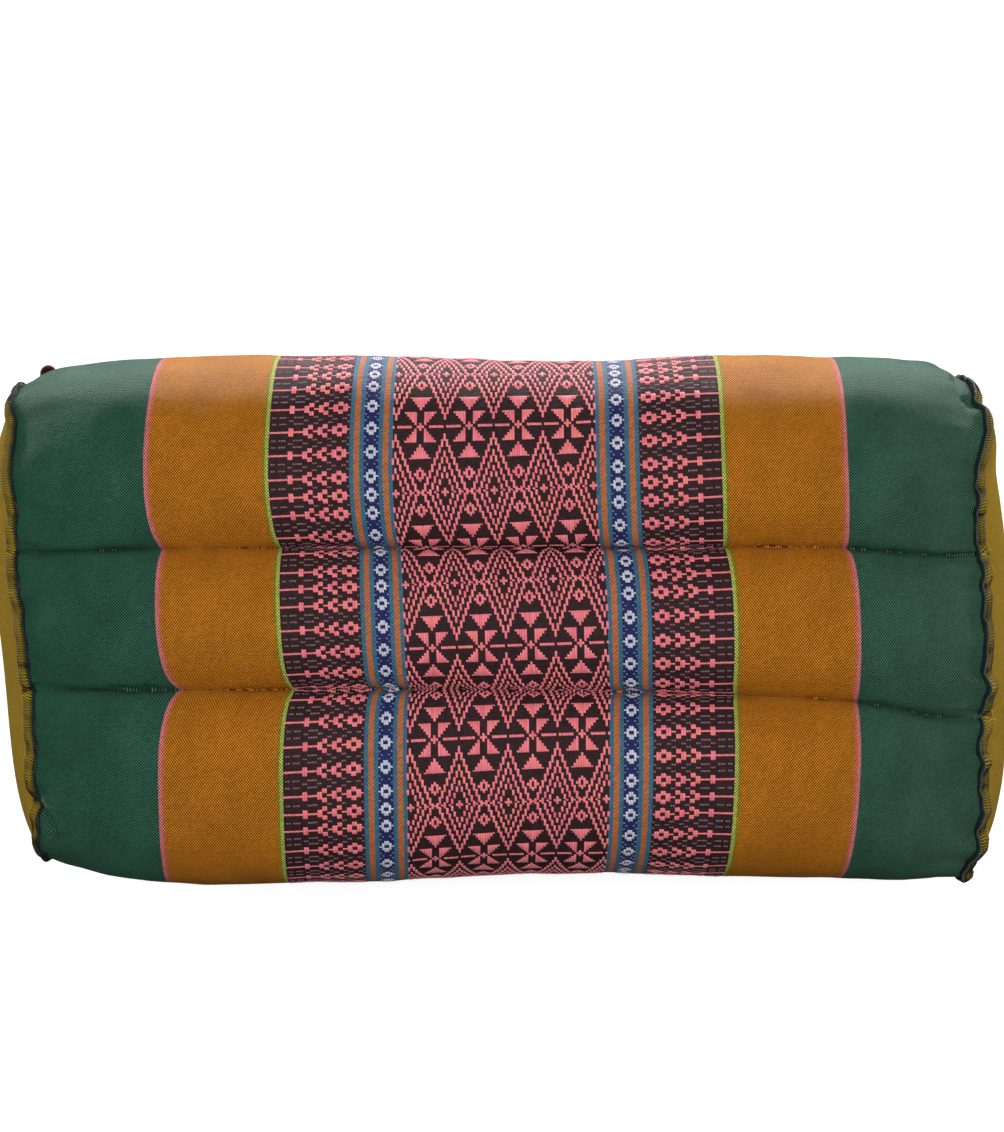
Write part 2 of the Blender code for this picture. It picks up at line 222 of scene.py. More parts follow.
def channelled_ring(x, groove_share=1.0):
    """Points round the sleeve at x: y and z, with grooves, swelling and flat underside."""
    y, z = plain_outline(x)
    length = np.concatenate(([0.0], np.cumsum(np.hypot(np.diff(y), np.diff(z)))))
    places = stitch_places(y, length, x)
    face_depth = section_value("face_groove", x) * groove_share
    side_depth = section_value("side_groove", x) * groove_share
    depths = (face_depth, side_depth, face_depth, face_depth, side_depth, face_depth)
    crease = section_value("crease", x)
    share = 0.5 - 0.5 * np.cos(math.pi * np.arange(RING_CELLS) / RING_CELLS)
    ring_y, ring_z = [], []
    for index, (_, groove_width, swells) in enumerate(CHANNELS):
        following = (index + 1) % LINE_COUNT
        start = places[index]
        end = places[following] + (0.0 if following else length[-1])
        along = start + share * (end - start)
        sunk = depths[index] * groove_fall(along - start, groove_width, crease)
        sunk += depths[following] * groove_fall(end - along, groove_width, crease)
        swell = curve_through(SWELL_PLACES, swells, x) * np.sin(math.pi * share)
        ahead, here, behind = ((along + step) % length[-1] for step in (NORMAL_STEP, 0.0, -NORMAL_STEP))
        run_y = np.interp(ahead, length, y) - np.interp(behind, length, y)
        run_z = np.interp(ahead, length, z) - np.interp(behind, length, z)
        size = np.hypot(run_y, run_z)
        ring_y.append(np.interp(here, length, y) - run_z / size * (swell - sunk))
        ring_z.append(np.interp(here, length, z) + run_y / size * (swell - sunk))
    ring_z = np.maximum(np.concatenate(ring_z) + CENTRE_HEIGHT, 0.0)
    return np.concatenate(ring_y), ring_z


print("channels:", ", ".join(name for name, *_ in CHANNELS), "with", RING_POINTS, "points round the sleeve")

# %% [markdown]
# ## Where the end seams wander
# A hand-packed block never ends in a true plane. The two end seams bow in and out, so a
# table gives where each seam lies across the face and across the underside, and the cloth
# near it follows. The same rings then serve the sleeve, the end panels and the seam edges,
# so that these meet exactly.
# %% Where the end seams wander
SEAM_FADE = 45.0
SEAM_COLUMNS = ("y", "left_face", "right_face", "left_under", "right_under")
SEAMS = (
    (-85.0, -152.4, 152.0, -153.8, 160.4),
    (-72.0, -153.0, 155.4, -153.6, 159.2),
    (-58.0, -152.8, 156.2, -153.0, 157.4),
    (-38.0, -152.8, 156.6, -152.6, 156.4),
    (-30.0, -153.2, 157.8, -153.0, 156.8),
    (-10.0, -155.4, 157.6, -154.4, 157.0),
    (12.0, -158.4, 156.6, -157.0, 156.2),
    (24.0, -158.8, 155.8, -157.6, 155.6),
    (38.0, -159.4, 154.8, -158.2, 154.8),
    (48.0, -160.4, 154.6, -159.0, 154.4),
    (62.0, -160.4, 157.6, -160.4, 155.6),
    (80.0, -162.6, 154.6, -163.0, 155.0),
)
END_PLACES = {"left": -HALF_LENGTH, "right": HALF_LENGTH}


def eased(share):
    """A share from 0 to 1 that starts and ends gently."""
    return share ** 2 * (3 - 2 * share)


def seam_offsets(ring_y, ring_z, side):
    """How far each point of an end ring lies from the plain end plane, along X."""
    blend = eased(np.clip(ring_z / (2 * CENTRE_HEIGHT), 0.0, 1.0))
    under, face = (table_value(SEAMS, SEAM_COLUMNS, f"{side}_{place}", ring_y) for place in ("under", "face"))
    return under * (1 - blend) + face * blend - END_PLACES[side]


def end_ring(side, groove_share=1.0):
    """The ring of points along an end seam, or the same ring without its notches."""
    ring_y, ring_z = channelled_ring(END_PLACES[side], groove_share)
    ring_x = END_PLACES[side] + seam_offsets(ring_y, ring_z, side)
    return np.column_stack((ring_x, ring_y + ACROSS_SHIFT, ring_z))


def fade(inset):
    """Share of the seam's wander left at a distance in from the seam."""
    t = np.clip(inset / SEAM_FADE, 0.0, 1.0)
    return (1 - t) ** 2 * (1 + 2 * t)


print("end seams:", " and ".join(f"{side} at {place:.0f} mm" for side, place in END_PLACES.items()))

# %% [markdown]
# ## The sleeve's smooth surface
# The sleeve is now drawn as rings, one for each millimetre of its length. Lofting is what
# a modeller would call it. The rings near a seam are shifted by a share of its wander, so
# the cloth follows the seam and forgets it further in.
# %% The sleeve's smooth surface
STATION_STEP = 1.0
stations = np.arange(-HALF_LENGTH, HALF_LENGTH + STATION_STEP / 2, STATION_STEP)
left_wander = seam_offsets(*channelled_ring(-HALF_LENGTH), "left")
right_wander = seam_offsets(*channelled_ring(HALF_LENGTH), "right")
smooth_rings = []
for x in stations:
    ring_y, ring_z = channelled_ring(x)
    ring_x = x + left_wander * fade(x + HALF_LENGTH) + right_wander * fade(HALF_LENGTH - x)
    smooth_rings.append(np.column_stack((ring_x, ring_y + ACROSS_SHIFT, ring_z)))
smooth_sleeve = np.array(smooth_rings)
print("sleeve surface:", smooth_sleeve.shape[0], "stations of", smooth_sleeve.shape[1], "points")

# %% [markdown]
# ## Tools for grids and rings
# Three things are asked of every surface that follows: which way it faces, how far round a
# ring a point lies, and how high a soft random hill is there. Blender's noise textures give
# such hills too. These are made from random knots instead, because they close exactly where
# the sleeve closes and come out the same every time.
# %% Tools for grids and rings
KNOT_ROWS = 600


def unit(vectors):
    """Vectors scaled to length one."""
    return vectors / np.maximum(np.linalg.norm(vectors, axis=-1, keepdims=True), 1e-9)


def outward_normals(grid):
    """Normals of a grid of rings, which point out of the cushion on the sleeve."""
    along = np.gradient(grid, axis=0)
    around = np.roll(grid, -1, axis=1) - np.roll(grid, 1, axis=1)
    return unit(np.cross(along, around))


def ring_distances(ring):
    """Distance round a ring from its first point to each point, and the whole way round."""
    steps = np.linalg.norm(np.roll(ring, -1, axis=0) - ring, axis=1)
    return np.concatenate(([0.0], np.cumsum(steps)))


def soft_noise(along, around, around_steps, seed):
    """Smooth random hills from -1 to 1 with a knot at each whole step, closed round the sleeve."""
    knots = np.random.default_rng(seed).uniform(-1, 1, (KNOT_ROWS, around_steps))
    along, around = np.broadcast_arrays(along + KNOT_ROWS / 2, around * around_steps)
    low_a, low_b = np.floor(along).astype(int), np.floor(around).astype(int)
    ease_a, ease_b = eased(along - low_a), eased(around - low_b)
    a0, a1 = low_a % KNOT_ROWS, (low_a + 1) % KNOT_ROWS
    b0, b1 = low_b % around_steps, (low_b + 1) % around_steps
    near = knots[a0, b0] * (1 - ease_b) + knots[a0, b1] * ease_b
    far = knots[a1, b0] * (1 - ease_b) + knots[a1, b1] * ease_b
    return near * (1 - ease_a) + far * ease_a


middle_distances = ring_distances(smooth_sleeve[len(stations) // 2])
girth = middle_distances[-1]
rail_distances = middle_distances[::RING_CELLS]
ring_share = middle_distances[:-1] / girth
print("girth", round(girth, 1), "mm, stitch lines at", np.round(rail_distances[:-1], 1), "mm round it")

# %% [markdown]
# ## Lumps and puckers
# Kapok packs unevenly, and cloth gathers where it is sewn. Cloth simulation can make such
# folds, and so can hand sculpting. Here they are soft hills along the cloth's own
# directions, each kind kept near the seam or the stitches that cause it, so they stay where
# the real ones are. Every stitch also pulls a small dimple.
# %% Lumps and puckers
LUMP = 0.55
LUMP_CALM = 9.0
SEAM_PUCKERS = {"left": 0.9, "right": 1.5}
SEAM_PUCKER_REACH = 11.0
SEAM_PUCKER_POWER = 1.4
LINE_PUCKER = 0.5
LINE_PUCKER_REACH = 4.5
STITCH_PITCH = 4.0
STITCH_DIMPLE = 0.28
STITCH_DIMPLE_REACH = 1.6


def hills(seed, *layers):
    """Soft noise over the sleeve, in layers of (length in mm, hills round the sleeve, strength)."""
    return sum(strength * soft_noise(stations[:, None] / length, ring_share[None, :], count, seed + layer)
               for layer, (length, count, strength) in enumerate(layers))


inset = HALF_LENGTH - np.abs(stations)[:, None]
line_distance = np.min(np.abs(middle_distances[:-1, None] - rail_distances[None, :]), axis=1)
lumps = hills(3, (21.0, 22, 1.0), (9.0, 56, 0.5))
puckers = hills(5, (16.0, 118, 1.0), (11.0, 190, 0.6))
gathers = hills(7, (4.2, 60, 1.0), (2.1, 60, 0.5))
seam_pucker = np.where(stations[:, None] < 0, SEAM_PUCKERS["left"], SEAM_PUCKERS["right"])
dimples = np.cos(2 * math.pi * stations[:, None] / STITCH_PITCH)
dimples = dimples * np.exp(-((line_distance / STITCH_DIMPLE_REACH) ** 2))
relief = LUMP * lumps * (1 - np.exp(-line_distance / LUMP_CALM))
relief += seam_pucker * puckers * np.exp(-((inset / SEAM_PUCKER_REACH) ** SEAM_PUCKER_POWER))
relief += LINE_PUCKER * gathers * np.exp(-line_distance / LINE_PUCKER_REACH)
relief += STITCH_DIMPLE * dimples
print("lumps and puckers from", round(relief.min(), 2), "to", round(relief.max(), 2), "mm")

# %% [markdown]
# ## Tucks near the seams
# A few short sharp creases run in from the corners and from the stitch lines, where more
# cloth was caught than fits. A crease could be pinched with a sculpting brush. Here each is
# a line across the face with a depth and a width. All relief fades out near the floor, so
# that the underside stays flat.
# %% Tucks near the seams
# Each tuck's start and end in x and y, its depth and its width
TUCKS = (
    ((150.6, 76.8), (153.8, 67.8), 3.6, 1.3),
    ((-153.4, -61.0), (-147.6, -73.6), 3.8, 1.5),
    ((-143.0, -72.6), (-136.6, -72.2), 1.2, 0.8),
    ((-126.5, -24.3), (-119.0, -25.4), 1.3, 0.8),
    ((-116.0, -24.2), (-112.5, -25.4), 1.1, 0.7),
    ((-157.0, 21.6), (-152.5, 20.6), 1.4, 0.9),
)
FACE_START = 60.0
FACE_RAMP = 20.0
UNDERSIDE_CALM = 4.0
heights = smooth_sleeve[..., 2]
face_share = np.clip((heights - FACE_START) / FACE_RAMP, 0.0, 1.0)
for start, end, depth, width in TUCKS:
    start, run = np.array(start), np.array(end) - np.array(start)
    reach = smooth_sleeve[..., :2] - start
    share = np.clip(reach @ run / (run @ run), 0.0, 1.0)
    away = np.linalg.norm(reach - share[..., None] * run, axis=-1)
    relief -= depth * face_share * np.exp(-((away / width) ** 2))
relief *= np.clip(heights / UNDERSIDE_CALM, 0.0, 1.0)
sleeve = smooth_sleeve + outward_normals(smooth_sleeve) * relief[..., None]
sleeve_normals = outward_normals(sleeve)
print("tucks:", len(TUCKS), "and the deepest place of the cloth is", round(relief.min(), 2), "mm")

# %% [markdown]
# ## Finding a place on the cloth
# The pattern belongs to the cloth, not to the cushion: it is counted in yarns across and
# picks along. So each mark needs a way from "this yarn, that pick" to a point in space.
# Places round the sleeve are counted in stitch lines: 0 and 6 are the back line of the
# face, and the cloth's two ends meet at place 1, which is also place 7. The table says
# which pick lies on each line, and the picks between are spread out by length.
# %% Which pick lies where
PICK = 0.636
LINE_PICKS = {7: -173.0, 6: 5.5, 5: 100.5, 4: 276.5, 3: 449.0, 2: 543.0, 1: 720.0}


def picks_round_sleeve():
    """Each ring point's place, rising from 1 to 7, and its pick, which falls."""
    places, picks = [], []
    for place in range(1, LINE_COUNT + 1):
        first = (place % LINE_COUNT) * RING_CELLS
        distance = middle_distances[first:first + RING_CELLS + 1] - middle_distances[first]
        share = distance / distance[-1]
        places.append(place + np.arange(RING_CELLS) / RING_CELLS)
        picks.append(LINE_PICKS[place] + share[:-1] * (LINE_PICKS[place + 1] - LINE_PICKS[place]))
    places.append([7.0])
    picks.append([LINE_PICKS[7]])
    return np.concatenate(places), np.concatenate(picks)


pick_places, place_picks = picks_round_sleeve()


def place_of_pick(pick):
    """Place round the sleeve, 1 to 7, of a pick of the cloth."""
    return np.interp(-np.asarray(pick), -place_picks, pick_places)


print("picks in the cloth's length:", int(LINE_PICKS[1] - LINE_PICKS[7]))

# %% [markdown]
# ## Which yarn lies where
# The stripes are not quite straight: they drift a little between the lines, are tugged at
# the two lines of the face, and are drawn in where the thread gathers the cloth. The green
# outer stripes take up the rest, eased out to the wandering seams. All of this could be
# painted on, but then the raised yarns would no longer lie on their own stripes.
# %% Which yarn lies where
DRIFT_COLUMNS = ("place", "left", "middle", "right")
DRIFTS = (
    (0.0, 0.4, -0.8, -0.8),
    (0.35, -1.4, -2.7, -2.9),
    (0.5, -0.3, -2.7, -3.2),
    (0.62, 0.7, -2.6, -3.5),
    (0.8, -0.4, -2.2, -3.0),
    (1.0, 0.0, -1.0, -1.4),
    (2.0, 0.5, 0.5, 0.5),
    (3.0, 0.5, 0.5, 0.5),
    (4.0, 1.2, 0.5, -1.0),
    (4.3, 2.3, 1.5, -1.5),
    (4.55, 3.4, 2.1, 0.4),
    (4.75, 3.2, 1.9, 1.3),
    (5.0, 2.9, 1.6, 1.2),
    (5.5, 2.3, 1.1, 1.0),
    (6.0, 0.4, -0.8, -0.8),
)
LINE_TUGS = {0: 0.5, 5: 2.4}
TUG_REACH = 5.0
GATHER_START = 30.0
GATHERS = {0: (2.6, 2.0), 5: (4.2, 2.0)}
# Gathers are pulls at the left and at the right end; lines that aren't listed have the plain one
PLAIN_GATHER = (2.2, 2.0)
GATHER_REACHES = (11.0, 6.0)
GATHER_WALLS = (6.0, 0.0)
GREEN_START = 114.2


def near_line(place, line, reach, wall=0.0):
    """How close a place is to a stitch line: 1 as far as the groove's wall, then falling to 0."""
    here = np.interp(place * RING_CELLS, np.arange(RING_POINTS + 1), middle_distances)
    gap = np.abs(here - rail_distances[line])
    return np.exp(-np.maximum(np.minimum(gap, girth - gap) - wall, 0.0) / reach)


def cushion_x(across_cloth, place):
    """Where a yarn lies along the cushion. The outer stripes are eased out to the end seams."""
    place = np.asarray(place, float) % LINE_COUNT
    side = np.sign(across_cloth)
    left, middle, right = (table_value(DRIFTS, DRIFT_COLUMNS, name, place) for name in DRIFT_COLUMNS[1:])
    share = np.clip(np.abs(across_cloth) / GREEN_START, 0.0, 1.0)
    moved = middle + share * (np.where(side < 0, left, right) - middle)
    for line, tug in LINE_TUGS.items():
        moved = moved + tug * near_line(place, line, TUG_REACH)
    gathered = np.clip((np.abs(across_cloth) - GATHER_START) / (GREEN_START - GATHER_START), 0.0, 1.0)
    for line in range(LINE_COUNT):
        left_pull, right_pull = (
            pull * near_line(place, line, reach, wall)
            for pull, reach, wall in zip(GATHERS.get(line, PLAIN_GATHER), GATHER_REACHES, GATHER_WALLS))
        moved = moved + gathered * np.where(side < 0, left_pull, -right_pull)
    edge = side * GREEN_START
    outer = np.clip((np.abs(across_cloth) - GREEN_START) / (HALF_LENGTH - GREEN_START), 0.0, 1.0)
    eased_out = edge + moved + outer * (side * HALF_LENGTH - edge - moved)
    return np.where(outer > 0, eased_out, across_cloth + moved)


gold_edges = cushion_x(np.array([-GREEN_START, GREEN_START]), 0.0)
print("on the back line of the face, the gold stripes end at", gold_edges.round(1), "mm")

# %% [markdown]
# ## From a yarn and a pick to a point
# The sleeve is known at its grid points only. A place between them is read by mixing the
# four points around it, as a picture is enlarged, and the way that the cloth faces is mixed
# the same way. A ray cast on the mesh would find it too, but far more slowly.
# %% From a yarn and a pick to a point
def on_sleeve(x, place):
    """Points and outward normals of the cloth at x along the cushion and a place round it."""
    x, place = np.broadcast_arrays(x, place)
    at = np.clip((x + HALF_LENGTH) / STATION_STEP, 0, len(stations) - 1.0001)
    ring_at = (place % LINE_COUNT) * RING_CELLS
    low, ring_low = np.floor(at).astype(int), np.floor(ring_at).astype(int)
    t, s = (at - low)[..., None], (ring_at - ring_low)[..., None]
    ring_low = ring_low % RING_POINTS
    ring_high = (ring_low + 1) % RING_POINTS
    found = []
    for grid in (sleeve, sleeve_normals):
        near = grid[low, ring_low] * (1 - s) + grid[low, ring_high] * s
        far = grid[low + 1, ring_low] * (1 - s) + grid[low + 1, ring_high] * s
        found.append(near * (1 - t) + far * t)
    return found[0], unit(found[1])


corner, corner_normal = on_sleeve(cushion_x(np.array(0.0), 0.5), 0.5)
print("the face's back channel at its crest:", corner.round(1), "mm, facing", corner_normal.round(2))

# %% [markdown]
# ## Making a mesh from rows of points
# Every piece from here on is a grid of quads or many small ones. One helper turns points
# and faces into an object, shades it smooth and gives it two UV maps: "cloth", measured in
# millimetres across and along the weave for the finishes, and "OFBake", where no two faces
# overlap, for anyone who wants to bake the finish into an image.
# %% Making a mesh from rows of points
def make_piece(name, points, faces, material, cloth_map=None, flat_map=None, stands_for=None):
    """An object from points in millimetres and lists of corners, riding on the cushion."""
    mesh = bpy.data.meshes.new(name)
    mesh.from_pydata((np.asarray(points) * MM).tolist(), [], faces)
    for map_name, corners in (("cloth", cloth_map), ("OFBake", flat_map)):
        if corners is not None:
            layer = mesh.uv_layers.new(name=map_name)
            layer.uv.foreach_set("vector", np.asarray(corners, np.float32).ravel())
    mesh.shade_smooth()
    mesh.materials.append(material)
    piece = bpy.data.objects.new(name, mesh)
    bpy.context.scene.collection.objects.link(piece)
    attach(piece, "root")
    if stands_for:
        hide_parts(stands_for)
    return piece


def grid_quads(rows, columns, wrap_columns=False):
    """Quads of a grid of points, rows by columns, as corner numbers."""
    last = columns if wrap_columns else columns - 1
    row, col = np.meshgrid(np.arange(rows - 1), np.arange(last), indexing="ij")
    after = (col + 1) % columns
    quads = np.stack((row * columns + col, (row + 1) * columns + col,
                      (row + 1) * columns + after, row * columns + after), axis=-1)
    return quads.reshape(-1, 4)


def closed_columns(quads, columns):
    """Each corner's column in a closed grid, where the first column ends the closing quads."""
    column_of = quads % columns
    closing = column_of.max(axis=1, keepdims=True) == columns - 1
    return np.where(closing & (column_of == 0), columns, column_of)


def face_outward(mesh, middle):
    """Turns all faces of a mesh over if they look towards a middle, given in millimetres."""
    middle = Vector(middle) * MM
    if sum((polygon.center - middle).dot(polygon.normal) for polygon in mesh.polygons) < 0:
        mesh.flip_normals()


print("3 by 3 points make", len(grid_quads(3, 3)), "quads, or", len(grid_quads(3, 3, True)), "closed round")

# %% [markdown]
# ## Finishes by nodes
# Woven cloth is not one flat colour. Light catches the crowns of the yarns and sinks
# between them, single yarns are thicker or paler, and a satin face shines along its
# threads. Image textures would hold all this, but nodes keep it sharp at any size. These
# helpers add a node and join or set its inputs in one line.
# %% Helpers for nodes
def srgb(red, green, blue):
    """A colour given as the eye reads it, 0 to 255, turned into linear light."""
    shares = [value / 255.0 for value in (red, green, blue)]
    linear = [s / 12.92 if s <= 0.04045 else ((s + 0.055) / 1.055) ** 2.4 for s in shares]
    return (*linear, 1.0)


def add_node(tree, kind, inputs=None, **settings):
    """A node with its settings made and its inputs joined to sockets or set to values."""
    made = tree.nodes.new("ShaderNode" + kind)
    for key, value in settings.items():
        setattr(made, key, value)
    for key, value in (inputs or {}).items():
        if isinstance(value, bpy.types.NodeSocket):
            tree.links.new(value, made.inputs[key])
        else:
            made.inputs[key].default_value = value
    return made


def math_node(tree, operation, first, second=0.0, third=0.0):
    """The result of one sum, product or wave."""
    made = add_node(tree, "Math", {0: first, 1: second, 2: third}, operation=operation)
    return made.outputs[0]


def mix_colour(tree, share, first, second, blend="MIX"):
    """Two colours mixed by a share."""
    made = add_node(tree, "Mix", {0: share, 6: first, 7: second}, data_type="RGBA", blend_type=blend)
    return made.outputs[2]


def mix_value(tree, share, first, second):
    """The first value where share is 0 and the second where it is 1."""
    mixed = add_node(tree, "Mix", {0: share, 2: first, 3: second})
    return mixed.outputs[0]


def spread(tree, value, low, high):
    """A 0 to 1 value moved to another range."""
    return add_node(tree, "MapRange", {0: value, 3: low, 4: high}).outputs[0]


print("linear light of a middle grey:", round(srgb(128, 128, 128)[0], 3))

# %% [markdown]
# ## Waves, grains and bumps
# The weave is drawn in the cloth's own millimetres, read from the "cloth" map, so its
# threads keep their real size on every piece. A wave gives threads that are all alike, and
# noise stretched one way gives the grains and slubs of real yarn.
# %% Waves, grains and bumps
PLAIN_SHINE = 0.16


def new_finish(name, inputs):
    """A material, its tree and its shader with some of the shader's inputs set."""
    material = bpy.data.materials.new(name)
    material.use_nodes = True
    shader = material.node_tree.nodes["Principled BSDF"]
    for key, value in inputs.items():
        shader.inputs[key].default_value = value
    return material, material.node_tree, shader


def cloth_places(tree):
    """The cloth map in millimetres: across the weave, along it, and both as one vector."""
    source = add_node(tree, "UVMap", uv_map="cloth").outputs[0]
    parts = add_node(tree, "SeparateXYZ", {0: source})
    return parts.outputs[0], parts.outputs[1], source


def wave(tree, place, pitch, shift=0.0):
    """A wave from 0 to 1 that repeats at each pitch in millimetres."""
    turned = math_node(tree, "MULTIPLY_ADD", place, 2 * math.pi / pitch, shift)
    return math_node(tree, "MULTIPLY_ADD", math_node(tree, "SINE", turned), 0.5, 0.5)


def stretched_noise(tree, source, scale_across, scale_along, detail=2.0):
    """Noise whose grains can be long in one direction of the cloth."""
    stretch = add_node(tree, "Mapping", {"Vector": source, "Scale": (scale_across, scale_along, 1.0)})
    made = add_node(tree, "TexNoise", {"Vector": stretch.outputs[0], "Scale": 1.0, "Detail": detail})
    return made.outputs[0]


def add_bumps(tree, shader, height, strength, depth):
    """Bumps of a depth in millimetres that follow a height from 0 to 1."""
    bump = add_node(tree, "Bump", {"Strength": strength, "Distance": depth * MM, "Height": height})
    tree.links.new(bump.outputs[0], shader.inputs["Normal"])


print("plain shine of thread and yarn:", PLAIN_SHINE)

# %% [markdown]
# ## Stripes of colour
# The stripes are warp yarns of other colours, so they run the whole way round and never
# fray into each other. A colour ramp could hold them, but its stops are shares from 0 to 1,
# and a chain of mixed colours can take each edge in millimetres. An edge swings a little
# from pick to pick, as it does in real cloth. A cloth can also get a painted sheen: its
# colour is mixed a little towards pale grey at the right end, for light glancing off it there.
# %% Stripes of colour
EDGE_SWING = 0.16
EDGE_STEP = (-0.05, 0.17)
# Pale grey mixed into a cloth at its right end: a painted sheen for light glancing off it
PAINTED_SHEEN_GREY = srgb(142, 142, 134)
PAINTED_SHEEN_PLACES = (90.0, 150.0)


def stripe_colours(tree, across, along, stripes, weft):
    """The colour at each place of the cloth from (edge in mm, colour) stripes."""
    colour = stripes[0][1]
    for edge, stripe_colour in stripes[1:]:
        swung = math_node(tree, "MULTIPLY_ADD", wave(tree, along, 2 * weft), EDGE_SWING, across)
        beyond = add_node(tree, "MapRange", {0: swung, 1: edge + EDGE_STEP[0], 2: edge + EDGE_STEP[1]})
        colour = mix_colour(tree, beyond.outputs[0], colour, stripe_colour)
    return colour


def with_painted_sheen(tree, over, colour, amount):
    """A colour mixed by an amount towards pale grey at the right end: a painted sheen."""
    sheen_share = add_node(tree, "MapRange", {0: over, 1: PAINTED_SHEEN_PLACES[0], 2: PAINTED_SHEEN_PLACES[1], 4: amount})
    return mix_colour(tree, sheen_share.outputs[0], colour, PAINTED_SHEEN_GREY)


print("cloth pales from", PAINTED_SHEEN_PLACES[0], "to", PAINTED_SHEEN_PLACES[1], "mm")

# %% [markdown]
# ## Woven cloth
# One function makes all woven finishes. Two slanting waves cross into the small diamonds of
# the twill and set both the tone and the bumps, so that light and relief agree. Two
# straight waves add the threads to the bumps. Slow noise keeps long stretches from looking
# printed, slubs are thicker yarns, and single floats are picked out at random.
# %% Woven cloth
WEAVE_DEPTH = 0.3
# Grains for each millimetre across and along the weave
FLECKS = (0.9, 3.4, 3.0)
SLOW_DRIFT = (0.07, 0.05)
SLUBS = (0.12, 2.6)
FLECK_HEIGHT = 0.8
FLECK_GLOSS = (-0.08, 0.1)


def cloth_tone(tree, source, along, diagonal, weave, tones, flecks, twill):
    """How light the cloth is: its flecks, slow drift, twill, slubs and floats multiplied."""
    float_place = add_node(tree, "CombineXYZ", {
        0: math_node(tree, "FLOOR", math_node(tree, "DIVIDE", diagonal, weave["warp"])),
        1: math_node(tree, "FLOOR", math_node(tree, "DIVIDE", along, weave["weft"]))})
    floats = add_node(tree, "TexWhiteNoise", {"Vector": float_place.outputs[0]}, noise_dimensions="2D")
    patterns = {
        "fleck": flecks,
        "slow": stretched_noise(tree, source, *SLOW_DRIFT),
        "twill": twill,
        "slub": stretched_noise(tree, source, *SLUBS),
        "float": floats.outputs[0],
    }
    layers = [spread(tree, pattern, 1 - tones[name], 1 + tones[name]) for name, pattern in patterns.items()]
    tone = layers[0]
    for layer in layers[1:]:
        tone = math_node(tree, "MULTIPLY", tone, layer)
    return tone


def striped_cloth(name, stripes, weave, roughness, sheen, tones):
    """Woven cloth from its stripes, its weave's sizes, its sheen and how strongly tones vary."""
    material, tree, shader = new_finish(name, {
        "Roughness": roughness, "Specular IOR Level": weave["shine"],
        "Sheen Weight": sheen[0], "Sheen Tint": sheen[1], "Sheen Roughness": 0.45})
    over, along, source = cloth_places(tree)
    across = math_node(tree, "ABSOLUTE", over)
    colour = stripe_colours(tree, across, along, stripes, weave["weft"])
    # Painted sheen: the colour turns a little paler and greyer towards the right end
    if "painted_sheen" in tones:
        colour = with_painted_sheen(tree, over, colour, tones["painted_sheen"])
    diagonal, counter = (math_node(tree, "MULTIPLY_ADD", along, slant, over)
                         for slant in (weave["twill"], -weave["twill"]))
    twill = mix_value(tree, weave["lean"], wave(tree, counter, weave["twill_pitch"]),
                      wave(tree, diagonal, weave["twill_pitch"]))
    flecks = stretched_noise(tree, source, *FLECKS)
    tone = cloth_tone(tree, source, along, diagonal, weave, tones, flecks, twill)
    shade = add_node(tree, "CombineColor", {0: tone, 1: tone, 2: tone})
    tree.links.new(mix_colour(tree, 1.0, colour, shade.outputs[0], "MULTIPLY"), shader.inputs["Base Color"])
    warp, weft = wave(tree, across, weave["warp"]), wave(tree, along, weave["weft"])
    threads = math_node(tree, "MULTIPLY", math_node(tree, "MULTIPLY_ADD", warp, 0.5, 0.5), weft)
    height = math_node(tree, "MULTIPLY_ADD", threads, 0.5, math_node(tree, "MULTIPLY", twill, 0.5))
    height = math_node(tree, "ADD", height, math_node(tree, "MULTIPLY", flecks, FLECK_HEIGHT))
    add_bumps(tree, shader, height, weave["relief"], WEAVE_DEPTH)
    gloss = spread(tree, flecks, *(roughness + change for change in FLECK_GLOSS))
    tree.links.new(gloss, shader.inputs["Roughness"])
    return material


print("the weave's bumps are", WEAVE_DEPTH, "mm deep")

# %% [markdown]
# ## Dyes and weaves
# The dyes were matched to the photograph by measuring small flat patches of the render
# beside it. A weave is given by its threads' widths, by the slope, width and balance of its
# twill, and by how high and how shiny it stands. The others start from the finest.
# %% Dyes and weaves
GREEN = srgb(36, 74, 58)
GOLD = srgb(158, 96, 18)
PINK_LINE = srgb(184, 102, 104)
PINK_FADE = srgb(172, 92, 58)
LIME = srgb(147, 161, 76)
LIME_FADE = srgb(134, 106, 22)
DARK_GROUND = srgb(46, 29, 31)
TEAL = srgb(54, 94, 116)
ORANGE = srgb(162, 94, 54)
NAVY = srgb(26, 36, 78)
YARN = 0.798
CENTRE_EDGE = 32.85
TAPE_EDGE = 47.0
BROCADE_EDGE = 73.4
FINE_WEAVE = {
    "warp": 0.42, "weft": 0.7, "twill": 0.86, "twill_pitch": 0.88, "lean": 0.5, "relief": 1.0, "shine": 0.1,
}
TWILL_WEAVE = dict(FINE_WEAVE, warp=0.46, weft=0.74, twill=0.84, twill_pitch=0.87, lean=0.48)
PATTERN_WEAVE = dict(FINE_WEAVE, warp=YARN, weft=PICK, twill=1.0, twill_pitch=1.3, lean=1.0, relief=0.6)
GOLD_STRIPES = ((BROCADE_EDGE, LIME), (74.6, LIME_FADE), (75.6, GOLD), (112.2, PINK_FADE), (113.1, PINK_LINE))
TAPE_STRIPES = (
    (CENTRE_EDGE, TEAL), (34.25, ORANGE), (36.1, TEAL),
    (37.5, NAVY), (42.3, TEAL), (43.8, ORANGE), (45.6, TEAL),
)
